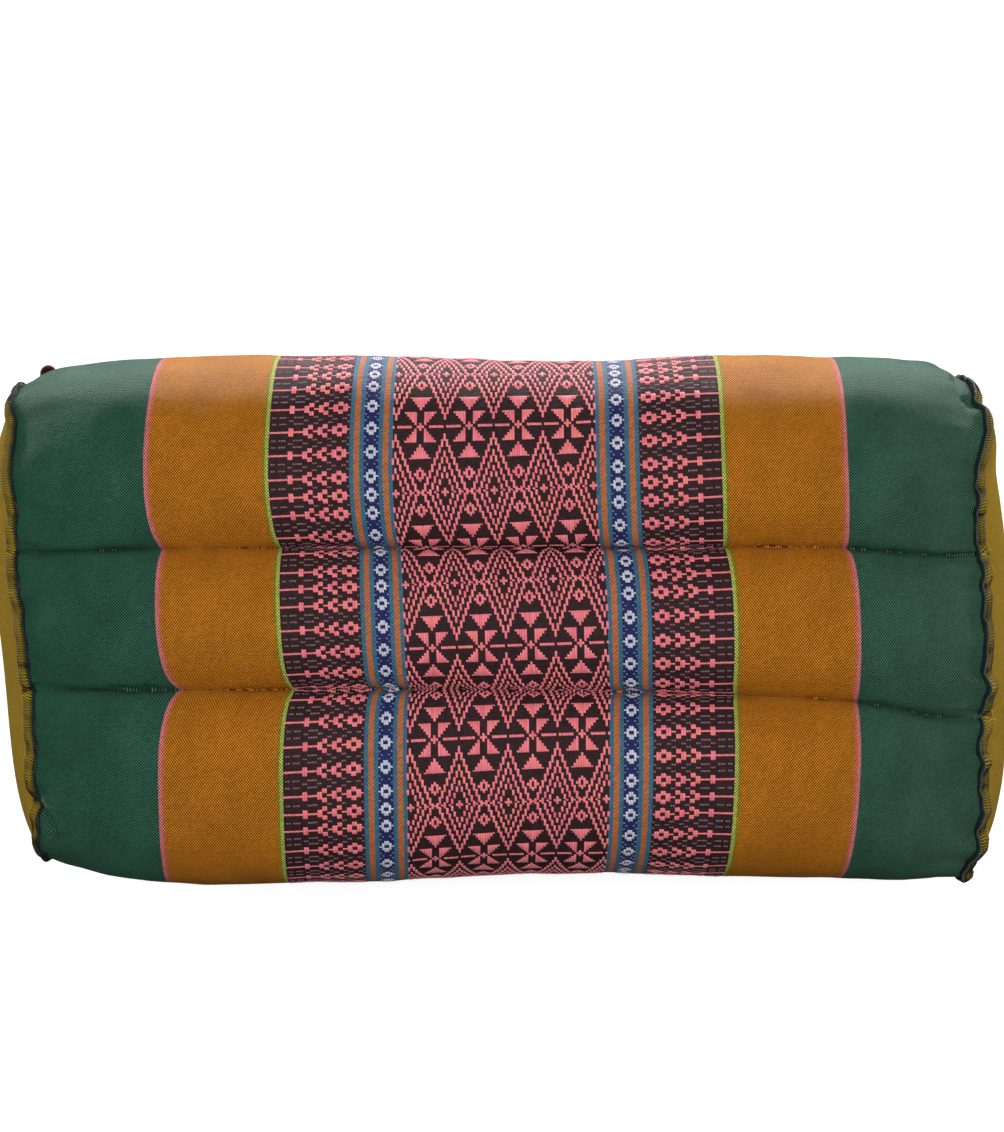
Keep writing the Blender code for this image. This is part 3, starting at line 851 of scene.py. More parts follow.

# The green cloth's last tone is a painted sheen that pales its right end
green_cloth = striped_cloth(
    "green stripe cloth", ((GREEN_START, GREEN), ), FINE_WEAVE, 0.5, (0.05, srgb(170, 235, 205)),
    {"fleck": 0.08, "slow": 0.36, "twill": 1.35, "slub": 0.06, "float": 0.2, "painted_sheen": 0.05})
gold_cloth = striped_cloth(
    "gold stripe cloth", GOLD_STRIPES, TWILL_WEAVE, 0.5, (0.05, srgb(255, 200, 120)),
    {"fleck": 0.07, "slow": 0.2, "twill": 1.35, "slub": 0.06, "float": 0.18})
brocade_ground = striped_cloth(
    "dark brocade ground", ((0.0, DARK_GROUND), ), PATTERN_WEAVE, 0.6, (0.02, srgb(160, 120, 130)),
    {"fleck": 0.3, "slow": 0.12, "twill": 0.1, "slub": 0.12, "float": 0.25})
tape_cloth = striped_cloth(
    "flower tape cloth", TAPE_STRIPES, PATTERN_WEAVE, 0.52, (0.08, srgb(200, 200, 220)),
    {"fleck": 0.2, "slow": 0.08, "twill": 0.2, "slub": 0.1, "float": 0.2})
striped_finishes = (green_cloth, gold_cloth, brocade_ground, tape_cloth)
print("striped finishes made:", ", ".join(finish.name for finish in striped_finishes))

# %% [markdown]
# ## The sleeve, stripe by stripe
# The sleeve is one length of cloth, and each of its stripes is made here as its own strip
# that runs round the cushion. Neighbouring strips share their edge points exactly, so no
# gap shows, and each strip gets its own finish and its own share of detail. For the flat
# map, which has to fit a square, a strip is cut into lanes that lie side by side.
# %% The sleeve, stripe by stripe
CENTRE_CELLS = 46
# Each stripe's name, its edges in mm from the middle, its cells across and its finish
STRIPES = (
    ("flower_tape", CENTRE_EDGE, TAPE_EDGE, 10, tape_cloth),
    ("side_brocade", TAPE_EDGE, BROCADE_EDGE, 18, brocade_ground),
    ("gold_stripe", BROCADE_EDGE, GREEN_START, 30, gold_cloth),
    ("green_stripe", GREEN_START, HALF_LENGTH, 40, green_cloth),
)
SIDES = (("left", -1), ("right", 1))
LANE_GAP = 2.0
LANE_MARGINS = (0.04, 0.02)
LANE_OVERHANG = 0.03
CLOTH_LENGTH = (LINE_PICKS[1] - LINE_PICKS[7]) * PICK
ring_places = np.arange(RING_POINTS) / RING_CELLS
counted_places = np.where(ring_places < 1, ring_places + LINE_COUNT, ring_places)
ring_picks = np.interp(counted_places, pick_places, place_picks)


def lane_map(across, along, inner, width):
    """The flat map of a strip: its length folded into lanes, each with a small margin."""
    columns = max(1, round(math.sqrt(CLOTH_LENGTH / (width + LANE_GAP))))
    rise = (along - LINE_PICKS[7] * PICK) / CLOTH_LENGTH * columns
    lane = np.minimum(np.floor(rise.mean(axis=1, keepdims=True)), columns - 1)
    side_margin, end_margin = LANE_MARGINS
    flat_u = (lane + side_margin + (1 - 2 * side_margin) * (across - inner) / width) / columns
    lane_share = np.clip((rise - lane + LANE_OVERHANG) / (1 + 2 * LANE_OVERHANG), 0.0, 1.0)
    flat_v = end_margin + (1 - 2 * end_margin) * lane_share
    return np.stack((flat_u, flat_v), axis=-1)


def sleeve_strip(name, edges, cells, material):
    """One strip of the sleeve between two yarns, all the way round the cushion."""
    yarns = np.linspace(edges[0], edges[1], cells + 1)
    points, _ = on_sleeve(cushion_x(yarns[:, None], ring_places[None, :]), ring_places[None, :])
    quads = grid_quads(cells + 1, RING_POINTS, wrap_columns=True)
    column_of = quads % RING_POINTS
    closing = (column_of[:, :1] == RING_CELLS - 1) & (column_of == RING_CELLS)
    along = np.where(closing, LINE_PICKS[7], ring_picks[column_of]) * PICK
    across = yarns[quads // RING_POINTS]
    cloth_map = np.stack((across, along), axis=-1)
    flat_map = lane_map(across, along, min(edges), abs(edges[1] - edges[0]))
    order = (0, 1, 2, 3) if edges[1] > edges[0] else (3, 2, 1, 0)
    piece = make_piece(name, points.reshape(-1, 3), quads[:, order].tolist(), material, cloth_map[:, order],
                       flat_map[:, order], "cover")
    return piece


sleeve_strips = [sleeve_strip("centre_brocade", (-CENTRE_EDGE, CENTRE_EDGE), CENTRE_CELLS, brocade_ground)]
for side, sign in SIDES:
    for stripe, inner, outer, cells, finish in STRIPES:
        sleeve_strips.append(sleeve_strip(f"{stripe}_{side}", (sign * inner, sign * outer), cells, finish))
print("sleeve strips:", len(sleeve_strips), "with", sum(len(s.data.polygons) for s in sleeve_strips), "quads")

# %% [markdown]
# ## Raised yarns of the brocade
# In brocade an extra coral yarn lies on top of the dark cloth, and each mark of the pattern
# is one short length of it between two picks. A printed texture looks flat from the side,
# so every such length is a small ridge of its own here: sunk at both ends, round on top.
# First comes the shape of one length. The short ones lie lower than the long ones.
# %% The shape of one raised yarn
YARN_HEIGHT = 0.3
YARN_CROWN = (0.12, 1.0, 0.12)
SUNK_END = -0.35
END_EASE = 0.4
MOST_EASE = 0.3
SHORT_LIFT = 0.55
LIFT_PER_PICK = 0.2
LONG_STEP = 4.0


def yarn_sections(first, last):
    """Where along a raised yarn its sections lie, in shares, and how high each stands."""
    span = last - first
    inner = max(2, int(math.ceil(span / LONG_STEP)) + 1)
    ease = min(END_EASE / span, MOST_EASE)
    places = np.concatenate(([0.0], np.linspace(ease, 1.0 - ease, inner), [1.0]))
    lift = min(1.0, SHORT_LIFT + LIFT_PER_PICK * span)
    heights = np.concatenate(([SUNK_END], np.full(inner, lift), [SUNK_END]))
    return places, heights


print("a yarn over 9 picks has sections at", yarn_sections(0.0, 9.0)[0].round(2))

# %% [markdown]
# ## Thousands of yarns at once
# Yarns with the same number of sections are worked out together and joined into one mesh
# for each stripe, which keeps thousands of them light enough to handle. The picks run a
# little askew on the real cloth, so each mark is shifted by how far across it lies. Every
# yarn also keeps a tone of its own on its points, for the finish to read.
# %% Thousands of yarns at once
PICK_TILT = 0.07
FULL_WIDTH = 0.94
ACROSS_YARN = np.array([-0.5, 0.0, 0.5])
YARN_MARGINS = (0.2, 0.15)


def in_own_cells(numbers, count, u, v, margins):
    """Places from 0 to 1 on small parts, moved into each part's own cell of a square map."""
    per_side = int(math.ceil(math.sqrt(count)))
    numbers = numbers[:, None, None]
    flat_u = (numbers % per_side + margins[0] + (1 - 2 * margins[0]) * u) / per_side
    flat_v = (numbers // per_side + margins[1] + (1 - 2 * margins[1]) * v) / per_side
    return np.stack(np.broadcast_arrays(flat_u, flat_v), axis=-1)


def yarn_group(group, shapes, width):
    """Points and cloth places of yarns that have the same number of sections."""
    share = np.array([places for places, _ in shapes])
    lift = np.array([heights for _, heights in shapes])
    picks = (group[:, 1:2] + share * (group[:, 2:3] - group[:, 1:2]))[..., None]
    across = group[:, 0][:, None, None] + ACROSS_YARN * YARN * width * np.ones_like(picks)
    place = place_of_pick(picks - PICK_TILT * across)
    surface, normals = on_sleeve(cushion_x(across, place), place)
    up = lift[..., None] * np.array(YARN_CROWN) * YARN_HEIGHT
    cloth = np.stack((across, np.broadcast_to(picks * PICK, across.shape)), axis=-1)
    return surface + normals * up[..., None], cloth, share


def raised_yarns(name, marks, material, width=FULL_WIDTH):
    """One mesh of raised yarns from rows of (yarn place in mm, first pick, last pick, tone)."""
    marks = np.array(marks)
    shapes = [yarn_sections(first, last) for _, first, last, _ in marks]
    counts = np.array([len(places) for places, _ in shapes])
    points, quads, tones, cloth_map, flat_map = [], [], [], [], []
    done, first_point = 0, 0
    for count in np.unique(counts):
        chosen = np.flatnonzero(counts == count)
        made, cloth, share = yarn_group(marks[chosen], [shapes[index] for index in chosen], width)
        numbers = done + np.arange(len(chosen))
        flat = in_own_cells(numbers, len(marks), ACROSS_YARN + 0.5, share[..., None], YARN_MARGINS)
        starts = np.arange(len(chosen)) * count * 3
        corners = (starts[:, None, None] + grid_quads(count, 3)[None, :, (0, 3, 2, 1)]).reshape(-1, 4)
        points.append(made.reshape(-1, 3))
        quads.append(first_point + corners)
        tones.append(np.repeat(marks[chosen, 3], count * 3))
        cloth_map.append(cloth.reshape(-1, 2)[corners])
        flat_map.append(flat.reshape(-1, 2)[corners])
        first_point += len(chosen) * count * 3
        done += len(chosen)
    piece = make_piece(name, np.concatenate(points), np.concatenate(quads).tolist(), material,
                       np.concatenate(cloth_map), np.concatenate(flat_map))
    tone = piece.data.attributes.new("tone", "FLOAT", "POINT")
    tone.data.foreach_set("value", np.concatenate(tones).astype(np.float32))
    print(name, len(marks), "raised yarns,", sum(len(q) for q in quads) * 2, "triangles")
    return piece


print("a raised yarn is up to", YARN_HEIGHT, "mm high")

# %% [markdown]
# ## Silky yarns
# The raised yarns are softer and shinier than the ground. Each takes its own tone between a
# light and a dark dye, some patches are warmer, and fine ribs run along it where its strands
# lie side by side.
# %% Silky yarns
PATCHES = (0.09, 0.06)
STRANDS = (5.0, 0.8)
STRAND_SHARE = 0.5
TONE_SHARE = 0.6
# Patches turn warm between these two noise values, up to this share of the warm dye
WARM_FROM, WARM_TO, WARM_MOST = 0.45, 0.7, 0.55
RIB_PITCH = 0.27
RIB_RELIEF = 0.35
RIB_DEPTH = 0.1


def yarn_finish(name, light, dark, warm):
    """Silky yarn: its tone changes a little from one length to the next and along each one."""
    material, tree, shader = new_finish(name, {
        "Roughness": 0.42, "Specular IOR Level": PLAIN_SHINE,
        "Sheen Weight": 0.25, "Sheen Tint": (1.0, 0.8, 0.8, 1.0)})
    across, _, source = cloth_places(tree)
    tone = add_node(tree, "Attribute", attribute_name="tone").outputs["Fac"]
    patches = stretched_noise(tree, source, *PATCHES)
    strand = stretched_noise(tree, source, *STRANDS)
    own_tone = math_node(tree, "MULTIPLY", tone, TONE_SHARE)
    share = math_node(tree, "MULTIPLY_ADD", strand, STRAND_SHARE, own_tone)
    colour = mix_colour(tree, share, light, dark)
    warmth = add_node(tree, "MapRange", {0: patches, 1: WARM_FROM, 2: WARM_TO, 4: WARM_MOST}).outputs[0]
    tree.links.new(mix_colour(tree, warmth, colour, warm), shader.inputs["Base Color"])
    add_bumps(tree, shader, wave(tree, across, RIB_PITCH), RIB_RELIEF, RIB_DEPTH)
    return material


coral_yarn = yarn_finish("coral yarn", srgb(240, 135, 145), srgb(211, 98, 110), srgb(234, 128, 114))
dim_yarn = yarn_finish("dim rose yarn", srgb(150, 110, 116), srgb(96, 68, 74), srgb(134, 98, 102))
white_yarn = yarn_finish("white yarn", srgb(206, 204, 216), srgb(170, 168, 190), srgb(200, 200, 206))
lavender_yarn = yarn_finish("lavender yarn", srgb(120, 124, 170), srgb(84, 88, 140), srgb(120, 130, 160))
silky_finishes = (coral_yarn, dim_yarn, white_yarn, lavender_yarn)
print("silky finishes made:", ", ".join(finish.name for finish in silky_finishes))

# %% [markdown]
# ## The pattern of the wide brocade stripe
# The motif is a small traditional repeat: a cross of triangles round a plus, beside three
# diamonds one inside the other. It is the same left and right, and above and below, so a
# quarter of it is enough: 10 yarns by 33 picks. Counted by rule, a weaver's draft fits in
# a short function, and mirroring does the rest.
# %% A quarter of the motif
REPEAT_YARNS = 20
REPEAT_PICKS = 66
HALF_REPEAT = REPEAT_PICKS // 2
PLUS_ENDS = (2.2, 0.8)
PLUS_ARM = 0.8
# Each triangle of the cross starts at a pick, climbs by picks for each yarn and ends at a pick
INNER_TRIANGLE = (0.9, 1.5, 8.2)
OUTER_TRIANGLE = (8.9, 1.7, 16.5)
# Each diamond's tip, its picks for each yarn, its length in picks and its half width in yarns
DIAMONDS = ((3.5, 3.1, 4.1, 9), (12.4, 3.15, 3.6, 6), (20.4, 3.1, 3.0, 3))
PETALS = ((20.6, 22.9), (21.7, 26.5), (23.2, 25.0))
PETAL_TIP = (25.3, 27.6)
SPECK = 0.6
SPECK_YARNS = (4, 7, 10)


def cross_and_diamonds(yarn):
    """Raised lengths, in picks from the cross's middle row, on a yarn 0 to 10 from its axis."""
    out = REPEAT_YARNS // 2 - yarn
    lengths = []
    if yarn <= 1:
        lengths.append((0.0, PLUS_ENDS[yarn]))
    if 4 <= yarn <= 9:
        lengths.append((0.0, PLUS_ARM))
    if 2 <= yarn <= 6:
        start, climb, end = INNER_TRIANGLE
        lengths.append((start + climb * (yarn - 2), end))
    if yarn <= 4:
        start, climb, end = OUTER_TRIANGLE
        lengths.append((start + climb * yarn, end))
    for apex, slope, length, widest in DIAMONDS:
        if out <= widest:
            start = apex + slope * out
            lengths.append((start, min(start + length, HALF_REPEAT)))
    if yarn <= 2:
        lengths.append(PETALS[yarn])
    if yarn == 0:
        lengths.append(PETAL_TIP)
    if out <= 1:
        lengths.append((HALF_REPEAT - PLUS_ENDS[out], HALF_REPEAT))
    if out in SPECK_YARNS:
        lengths.append((HALF_REPEAT - SPECK, HALF_REPEAT))
    return lengths


print("raised lengths on the axis yarn:", cross_and_diamonds(0))

# %% [markdown]
# ## Repeating the motif
# The quarter is mirrored about the middle row of each repeat, and the yarns are mirrored
# about the cross's axis. Marks that would run past the cloth's ends are left out. A random
# tone for each mark comes from one numbered draw, so the picture never changes.
# %% Repeating the motif
FIRST_REPEAT, LAST_REPEAT = -4, 12
EDGE_YARN = 41
END_MARGIN = 0.5
yarn_random = np.random.default_rng(11)


def mirrored(lengths, middle):
    """Raised lengths above and below a middle row, joined where they meet at either end."""
    spans = []
    for start, end in lengths:
        if start == 0.0:
            spans.append((middle - end, middle + end))
        elif end == HALF_REPEAT:
            spans.append((middle + start, middle + REPEAT_PICKS - start))
        else:
            spans += [(middle + start, middle + end), (middle - end, middle - start)]
    return spans


def add_marks(marks, across, spans):
    """Adds the spans that lie on the cloth as marks, each with a random tone."""
    tilt = PICK_TILT * across
    for start, end in spans:
        if start - tilt > LINE_PICKS[7] + END_MARGIN and end - tilt < LINE_PICKS[1] - END_MARGIN:
            marks.append((across, start, end, yarn_random.uniform(0.0, 1.0)))


centre_marks = []
for yarn in range(-EDGE_YARN, EDGE_YARN + 1):
    from_cross = (yarn - REPEAT_YARNS // 2) % REPEAT_YARNS
    from_cross = min(from_cross, REPEAT_YARNS - from_cross)
    for repeat in range(FIRST_REPEAT, LAST_REPEAT):
        add_marks(centre_marks, yarn * YARN, mirrored(cross_and_diamonds(from_cross), repeat * REPEAT_PICKS))
raised_yarns("centre_brocade_yarns", centre_marks, coral_yarn)

# %% [markdown]
# ## Flower rows of the narrow stripes
# The two side stripes carry rows of three small flowers and a beaded line, and the tapes
# a chain of white ones. Both follow the same rhythm of rows, twelve or nine picks apart.
# Each flower row is a short chart: first and last yarn, and the picks they cover to either
# side of the row's middle. Dots fill the gaps between the rows.
# %% Charts of the flowers and dots
FLOWER_ROWS = (0, 12, 24, 33, 42, 54)
# Each row of a chart: first yarn, last yarn, and the picks that they cover
SIDE_CHART = (
    (1, 1, 0.0, 0.5),
    (2, 3, 0.0, 2.15),
    (4, 5, 0.95, 3.5),
    (6, 7, 0.0, 2.15),
    (8, 9, 0.0, 0.55),
    (10, 11, 1.05, 3.6),
    (12, 13, 0.0, 2.1),
    (14, 15, 0.0, 0.55),
    (16, 17, 1.05, 3.6),
    (18, 19, 0.0, 2.0),
    (20, 23, 0.0, 0.62),
    (24, 25, 0.0, 2.3),
    (26, 33, 0.0, 0.62),
)
SIDE_DOTS_MIDDLE = (2, 3, 6, 7, 12, 13, 18, 19, 24, 25)
SIDE_DOTS_PAIR = (1, 8, 9, 14, 15, 20, 21, 22, 23, 27, 28, 29, 31, 32)
# The tape's flowers go by their distance in yarns from the tape's middle
TAPE_CHART = ((0.5, 0.8, 3.5), (1.5, 0.0, 2.2), (2.5, 0.0, 0.5))
TAPE_MIDDLE = (CENTRE_EDGE + TAPE_EDGE) / 2
TAPE_DOT_YARNS = (1.5, 2.5)
DOT_HALF = 0.5
DOT_PAIR = 1.7
WIDE_GAP = 10


def chart_spans(start, end, row):
    """Raised lengths of one chart entry about a flower row."""
    if start == 0.0:
        return [(row - end, row + end)]
    return [(row - end, row - start), (row + start, row + end)]


def flower_rows():
    """Each flower row's pick with the gap to the next row."""
    rows = []
    for repeat in range(FIRST_REPEAT, LAST_REPEAT):
        for row, after in zip(FLOWER_ROWS, FLOWER_ROWS[1:] + (REPEAT_PICKS, )):
            rows.append((repeat * REPEAT_PICKS + row, after - row))
    return rows


def side_yarn(yarn):
    """How far from the cushion's middle a yarn of the side stripe lies, in mm."""
    return TAPE_EDGE + (yarn - 0.3) * YARN


def dots_at(middle, shifts):
    """Short dots about a middle pick, one for each shift."""
    return [(middle + shift - DOT_HALF, middle + shift + DOT_HALF) for shift in shifts]


print("flower rows along the cloth:", len(flower_rows()))

# %% [markdown]
# ## Laying the flowers and dots
# Left and right are mirror images, so one loop lays both. Where the gap between two rows is
# wide it holds a row of single dots with a pair of dots on either side, and where it is
# narrow only one row of dots fits. The dots are dimmer and thinner than the flowers.
# %% Laying the flowers and dots
DOT_WIDTH = 0.8
for side, sign in SIDES:
    flowers, dots, white_flowers, tape_dots = [], [], [], []
    for row, gap in flower_rows():
        for first, last, start, end in SIDE_CHART:
            for yarn in range(first, last + 1):
                add_marks(flowers, sign * side_yarn(yarn), chart_spans(start, end, row))
        middle_pick = row + gap / 2
        middle_shifts, pair_shifts = ((0.0, ), (-DOT_PAIR, DOT_PAIR)) if gap > WIDE_GAP else ((), (0.0, ))
        for yarns, shifts in ((SIDE_DOTS_MIDDLE, middle_shifts), (SIDE_DOTS_PAIR, pair_shifts)):
            for yarn in yarns:
                add_marks(dots, sign * side_yarn(yarn), dots_at(middle_pick, shifts))
        for aside in (-1, 1):
            for offset, start, end in TAPE_CHART:
                across = sign * TAPE_MIDDLE + aside * offset * YARN
                add_marks(white_flowers, across, chart_spans(start, end, row))
            for offset, shifts in zip(TAPE_DOT_YARNS, (middle_shifts, pair_shifts)):
                across = sign * TAPE_MIDDLE + aside * offset * YARN
                add_marks(tape_dots, across, dots_at(middle_pick, shifts))
    raised_yarns(f"side_flowers_{side}", flowers, coral_yarn)
    raised_yarns(f"side_dots_{side}", dots, dim_yarn, DOT_WIDTH)
    raised_yarns(f"tape_flowers_{side}", white_flowers, white_yarn)
    raised_yarns(f"tape_dots_{side}", tape_dots, lavender_yarn, DOT_WIDTH)

# %% [markdown]
# ## Threads as tubes
# Sewing thread is a thin round cord, and thousands of pieces of it show. A bevelled curve
# would make each one, but slowly and one by one. This helper puts a ring of five points
# round every point of every path at once, and joins them all into one mesh. The same helper
# serves every thread that follows.
# %% Threads as tubes
THREAD_SIDES = 5
THREAD_SHIFT = 7.3
THREAD_MARGINS = (0.1, 0.1)
STEEP = 0.9
TWIST_SLOPE = 1.4
TWIST_PITCH = 0.42
TWIST_RELIEF = 0.5
TWIST_DEPTH = 0.1
THREAD_SHADES = (0.5, 0.3)


def tube_points(paths, radius):
    """Rings of points round paths of equal point count."""
    forward = unit(np.gradient(paths, axis=1))
    reference = np.zeros_like(forward)
    reference[..., 2] = 1.0
    reference[np.abs(forward[..., 2]) > STEEP] = (0.0, 1.0, 0.0)
    first = unit(np.cross(forward, reference))
    second = np.cross(forward, first)
    angle = np.arange(THREAD_SIDES) * (2 * math.pi / THREAD_SIDES)
    rings = paths[:, :, None] + radius * (first[:, :, None] * np.cos(angle)[:, None]
                                          + second[:, :, None] * np.sin(angle)[:, None])
    return rings.reshape(-1, 3)


def thread_tubes(name, paths, radius, material):
    """Tubes of one radius along many paths of equal point count, as one mesh."""
    paths = np.asarray(paths, float)
    count, steps = paths.shape[:2]
    one = grid_quads(steps, THREAD_SIDES, wrap_columns=True)[:, ::-1]
    threads = np.arange(count)[:, None, None]
    quads = (threads * steps * THREAD_SIDES + one[None]).reshape(-1, 4)
    along = one // THREAD_SIDES / (steps - 1)
    around = closed_columns(one, THREAD_SIDES)
    flat = in_own_cells(threads.ravel(), count, around / THREAD_SIDES, along, THREAD_MARGINS)
    length = np.linalg.norm(np.diff(paths, axis=1), axis=-1).sum(axis=1).mean()
    cloth = np.stack(np.broadcast_arrays(around * radius, threads * THREAD_SHIFT + length * along), axis=-1)
    piece = make_piece(name, tube_points(paths, radius), quads.tolist(), material,
                       cloth.reshape(-1, 4, 2), flat.reshape(-1, 4, 2))
    print(name, count, "threads,", len(quads) * 2, "triangles")
    return piece


def thread_finish(name, colour, shade, sheen=0.2):
    """Twisted sewing thread: a fine slanting twist and a little change of tone."""
    material, tree, shader = new_finish(name, {
        "Roughness": 0.6, "Specular IOR Level": PLAIN_SHINE, "Sheen Weight": sheen})
    across, along, source = cloth_places(tree)
    shades = stretched_noise(tree, source, *THREAD_SHADES)
    tree.links.new(mix_colour(tree, shades, colour, shade), shader.inputs["Base Color"])
    twist = wave(tree, math_node(tree, "MULTIPLY_ADD", across, TWIST_SLOPE, along), TWIST_PITCH)
    add_bumps(tree, shader, twist, TWIST_RELIEF, TWIST_DEPTH)
    return material


print("a thread has", THREAD_SIDES, "sides")

# %% [markdown]
# ## Stitches along the six lines
# A doubled thread runs in and out of the block along each line. On the face only short
# lengths of it show, sunk in the crease, with the cloth gathered between them. Each visible
# stitch is a little tube that dives into the cloth at both ends. Each line is split in the
# middle of the cushion, so that its pieces stay short.
# %% Stitches along the six lines
STITCH_SPAN = 2.5
STITCH_STEPS = 6
STITCH_RADIUS = 0.25
STITCH_MARGIN = 8.0
STITCH_BOW = 0.75
STITCH_SINK = 0.25
line_thread = thread_finish("line stitch thread", srgb(64, 38, 22), srgb(32, 20, 14), sheen=0.01)


def line_stitches(line):
    """Paths of the stitches that show along one stitch line."""
    starts = np.arange(STITCH_MARGIN - HALF_LENGTH, HALF_LENGTH - STITCH_MARGIN, STITCH_PITCH)
    share = np.linspace(0.0, 1.0, STITCH_STEPS)
    x = starts[:, None] + share[None, :] * STITCH_SPAN
    points, normals = on_sleeve(x, np.full_like(x, float(line)))
    rise = np.sin(math.pi * share) * STITCH_BOW - STITCH_SINK
    return points + normals * rise[None, :, None]


for line in range(LINE_COUNT):
    paths = line_stitches(line)
    half = len(paths) // 2
    for side, part in (("left", paths[:half]), ("right", paths[half:])):
        thread_tubes(f"line_stitches_{line}_{side}", part, STITCH_RADIUS, line_thread)

# %% [markdown]
# ## The shape of a domed end
# Each end is closed by one plain mustard panel. The filling pushes it out, so it stands
# highest in the middle and lies nearly flat beside the seam. A cap could be grown with a
# few extruded loops; here rings shrink from the seam to the middle along the same rule as
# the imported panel, which keeps the dome inside its measured size.
# %% The shape of a domed end
DOMES = {"left": -14.1, "right": 14.6}
DOME_SIDE_POWER = 3.2
DOME_TOP_POWER = 2.6
NOTCH_POWER = 7.0


def dome_ring(side, share):
    """An end's ring at a share of the way out from the middle to the seam."""
    seam_ring, plain_ring = end_ring(side), end_ring(side, 0.0)
    middle_point = plain_ring.mean(axis=0)
    share = np.asarray(share).reshape(-1, 1)
    reach = plain_ring + (seam_ring - plain_ring) * share ** NOTCH_POWER - middle_point
    width = np.abs(reach[:, 1]) / np.abs(reach[:, 1]).max()
    height = np.abs(reach[:, 2]) / np.abs(reach[:, 2]).max()
    sideways = width ** 2 / (width ** 2 + height ** 2)
    power = DOME_TOP_POWER + (DOME_SIDE_POWER - DOME_TOP_POWER) * sideways
    ring = middle_point + reach * share
    seam_surface = END_PLACES[side] + seam_offsets(ring[:, 1] - ACROSS_SHIFT, ring[:, 2], side)
    ring[:, 0] = seam_surface + DOMES[side] * (1 - share[:, 0] ** power)
    return ring


print("the ends stand out by", " and ".join(str(abs(dome)) for dome in DOMES.values()), "mm")

# %% [markdown]
# ## Domed end panels
# The panel's twill is the same cloth in one colour. It puckers close to the seam, where it
# was eased in, and rolls softly further in. Its outer ring is pulled exactly onto the
# sleeve's last ring, so that no gap opens beneath the standing seam.
# %% Domed end panels
PANEL_RINGS = 44
PANEL_MIDDLE = 0.04
PANEL_STAND = 1.2
PANEL_EDGE_REACH = 7.0
PANEL_PUCKER = 0.55
PANEL_ROLL = 0.5
# Puckers and rolls: how long one is, how many go round, and where they start in from the seam
PUCKER_LENGTH, PUCKER_COUNT, PUCKER_START, PUCKER_REACH = 9.0, 110, 1.2, 6.5
ROLL_LENGTH, ROLL_COUNT, ROLL_START = 26.0, 12, 12.0
PANEL_SEEDS = {"left": (21, 23), "right": (22, 24)}
PANEL_MAP_SIZE = 190.0
PANEL_MAP_START = (0.5, 0.1)
EDGE_MATCH_POWER = 30
FLOOR_GAP = 0.05
END_STATIONS = {"left": 0, "right": -1}
PANEL_WEAVE = dict(TWILL_WEAVE, shine=0.02)
mustard_cloth = striped_cloth(
    "mustard panel cloth", ((0.0, srgb(132, 105, 22)), ), PANEL_WEAVE, 0.62, (0.02, srgb(240, 200, 90)),
    {"fleck": 0.1, "slow": 0.12, "twill": 0.7, "slub": 0.06, "float": 0.1})


def panel_lift(depth_in, shares, seeds):
    """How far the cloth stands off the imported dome: its thickness, its puckers and its rolls."""
    pucker = soft_noise(depth_in / PUCKER_LENGTH, ring_share[None, :], PUCKER_COUNT, seeds[0])
    roll = soft_noise(depth_in / ROLL_LENGTH, ring_share[None, :], ROLL_COUNT, seeds[1])
    lift = PANEL_STAND * (1 - np.exp(-depth_in / PANEL_EDGE_REACH))
    lift += PANEL_PUCKER * pucker * np.exp(-depth_in / PUCKER_REACH) * (1 - np.exp(-depth_in / PUCKER_START))
    return lift + PANEL_ROLL * roll * (1 - np.exp(-depth_in / ROLL_START)) * shares[:, None]


def end_panel(side):
    """The panel of one end as rings that shrink to its middle."""
    shares = np.sin(np.linspace(math.pi / 2, PANEL_MIDDLE, PANEL_RINGS))
    rings = np.array([dome_ring(side, share) for share in shares])
    rings += (sleeve[END_STATIONS[side]] - rings[0]) * (shares[:, None, None] ** EDGE_MATCH_POWER)
    depth_in = np.linalg.norm(rings - rings[0], axis=2)
    normals = outward_normals(rings)
    normals = normals * np.sign((normals[..., 0] * DOMES[side]).mean())
    rings = rings + normals * panel_lift(depth_in, shares, PANEL_SEEDS[side])[..., None]
    rings[..., 2] = np.maximum(rings[..., 2], FLOOR_GAP)
    points = np.concatenate((rings.reshape(-1, 3), rings[-1].mean(axis=0)[None]))
    quads = grid_quads(PANEL_RINGS, RING_POINTS, wrap_columns=True)
    last = (PANEL_RINGS - 1) * RING_POINTS + np.arange(RING_POINTS)
    fan = np.stack((last, np.full(RING_POINTS, len(points) - 1), np.roll(last, -1)), axis=-1)
    cloth_map = points[np.concatenate((quads.ravel(), fan.ravel()))][:, 1:]
    flat_map = cloth_map / PANEL_MAP_SIZE + PANEL_MAP_START
    panel = make_piece(f"end_panel_cloth_{side}", points, quads.tolist() + fan.tolist(), mustard_cloth,
                       cloth_map, flat_map, f"end_panel_{side}")
    face_outward(panel.data, (0.0, 0.0, CENTRE_HEIGHT))
    print(panel.name, len(panel.data.polygons), "faces")
    return panel


for side in END_PLACES:
    end_panel(side)

# %% [markdown]
# ## The seam's own directions
# The sleeve and the panel are sewn together with their raw edges outside, and these stand
# up as a narrow ridge. To sweep a section along it, each point of the seam needs two
# directions: aside, towards the panel, and proud, out of the cushion. A curve with a bevel
# has such a frame too, but it twists at tight corners, so the frame is taken from the two
# cloths that meet in the seam.
# %% The seam's own directions
EDGE_LEANS = {"left": math.radians(46.0), "right": math.radians(34.0)}
CORNER_NARROWING = {"left": 0.5, "right": 0.0}
CORNER_START = (58.0, 70.0)
CORNER_RAMP = (18.0, 20.0)
NEAR_STATIONS = {"left": 8, "right": -9}
NEAR_SHARE = 0.9
CORD_POINTS = 900
# Over how many neighbours each way the two directions of the seam are averaged
ASIDE_REACH = 4
FORWARD_REACH = 2


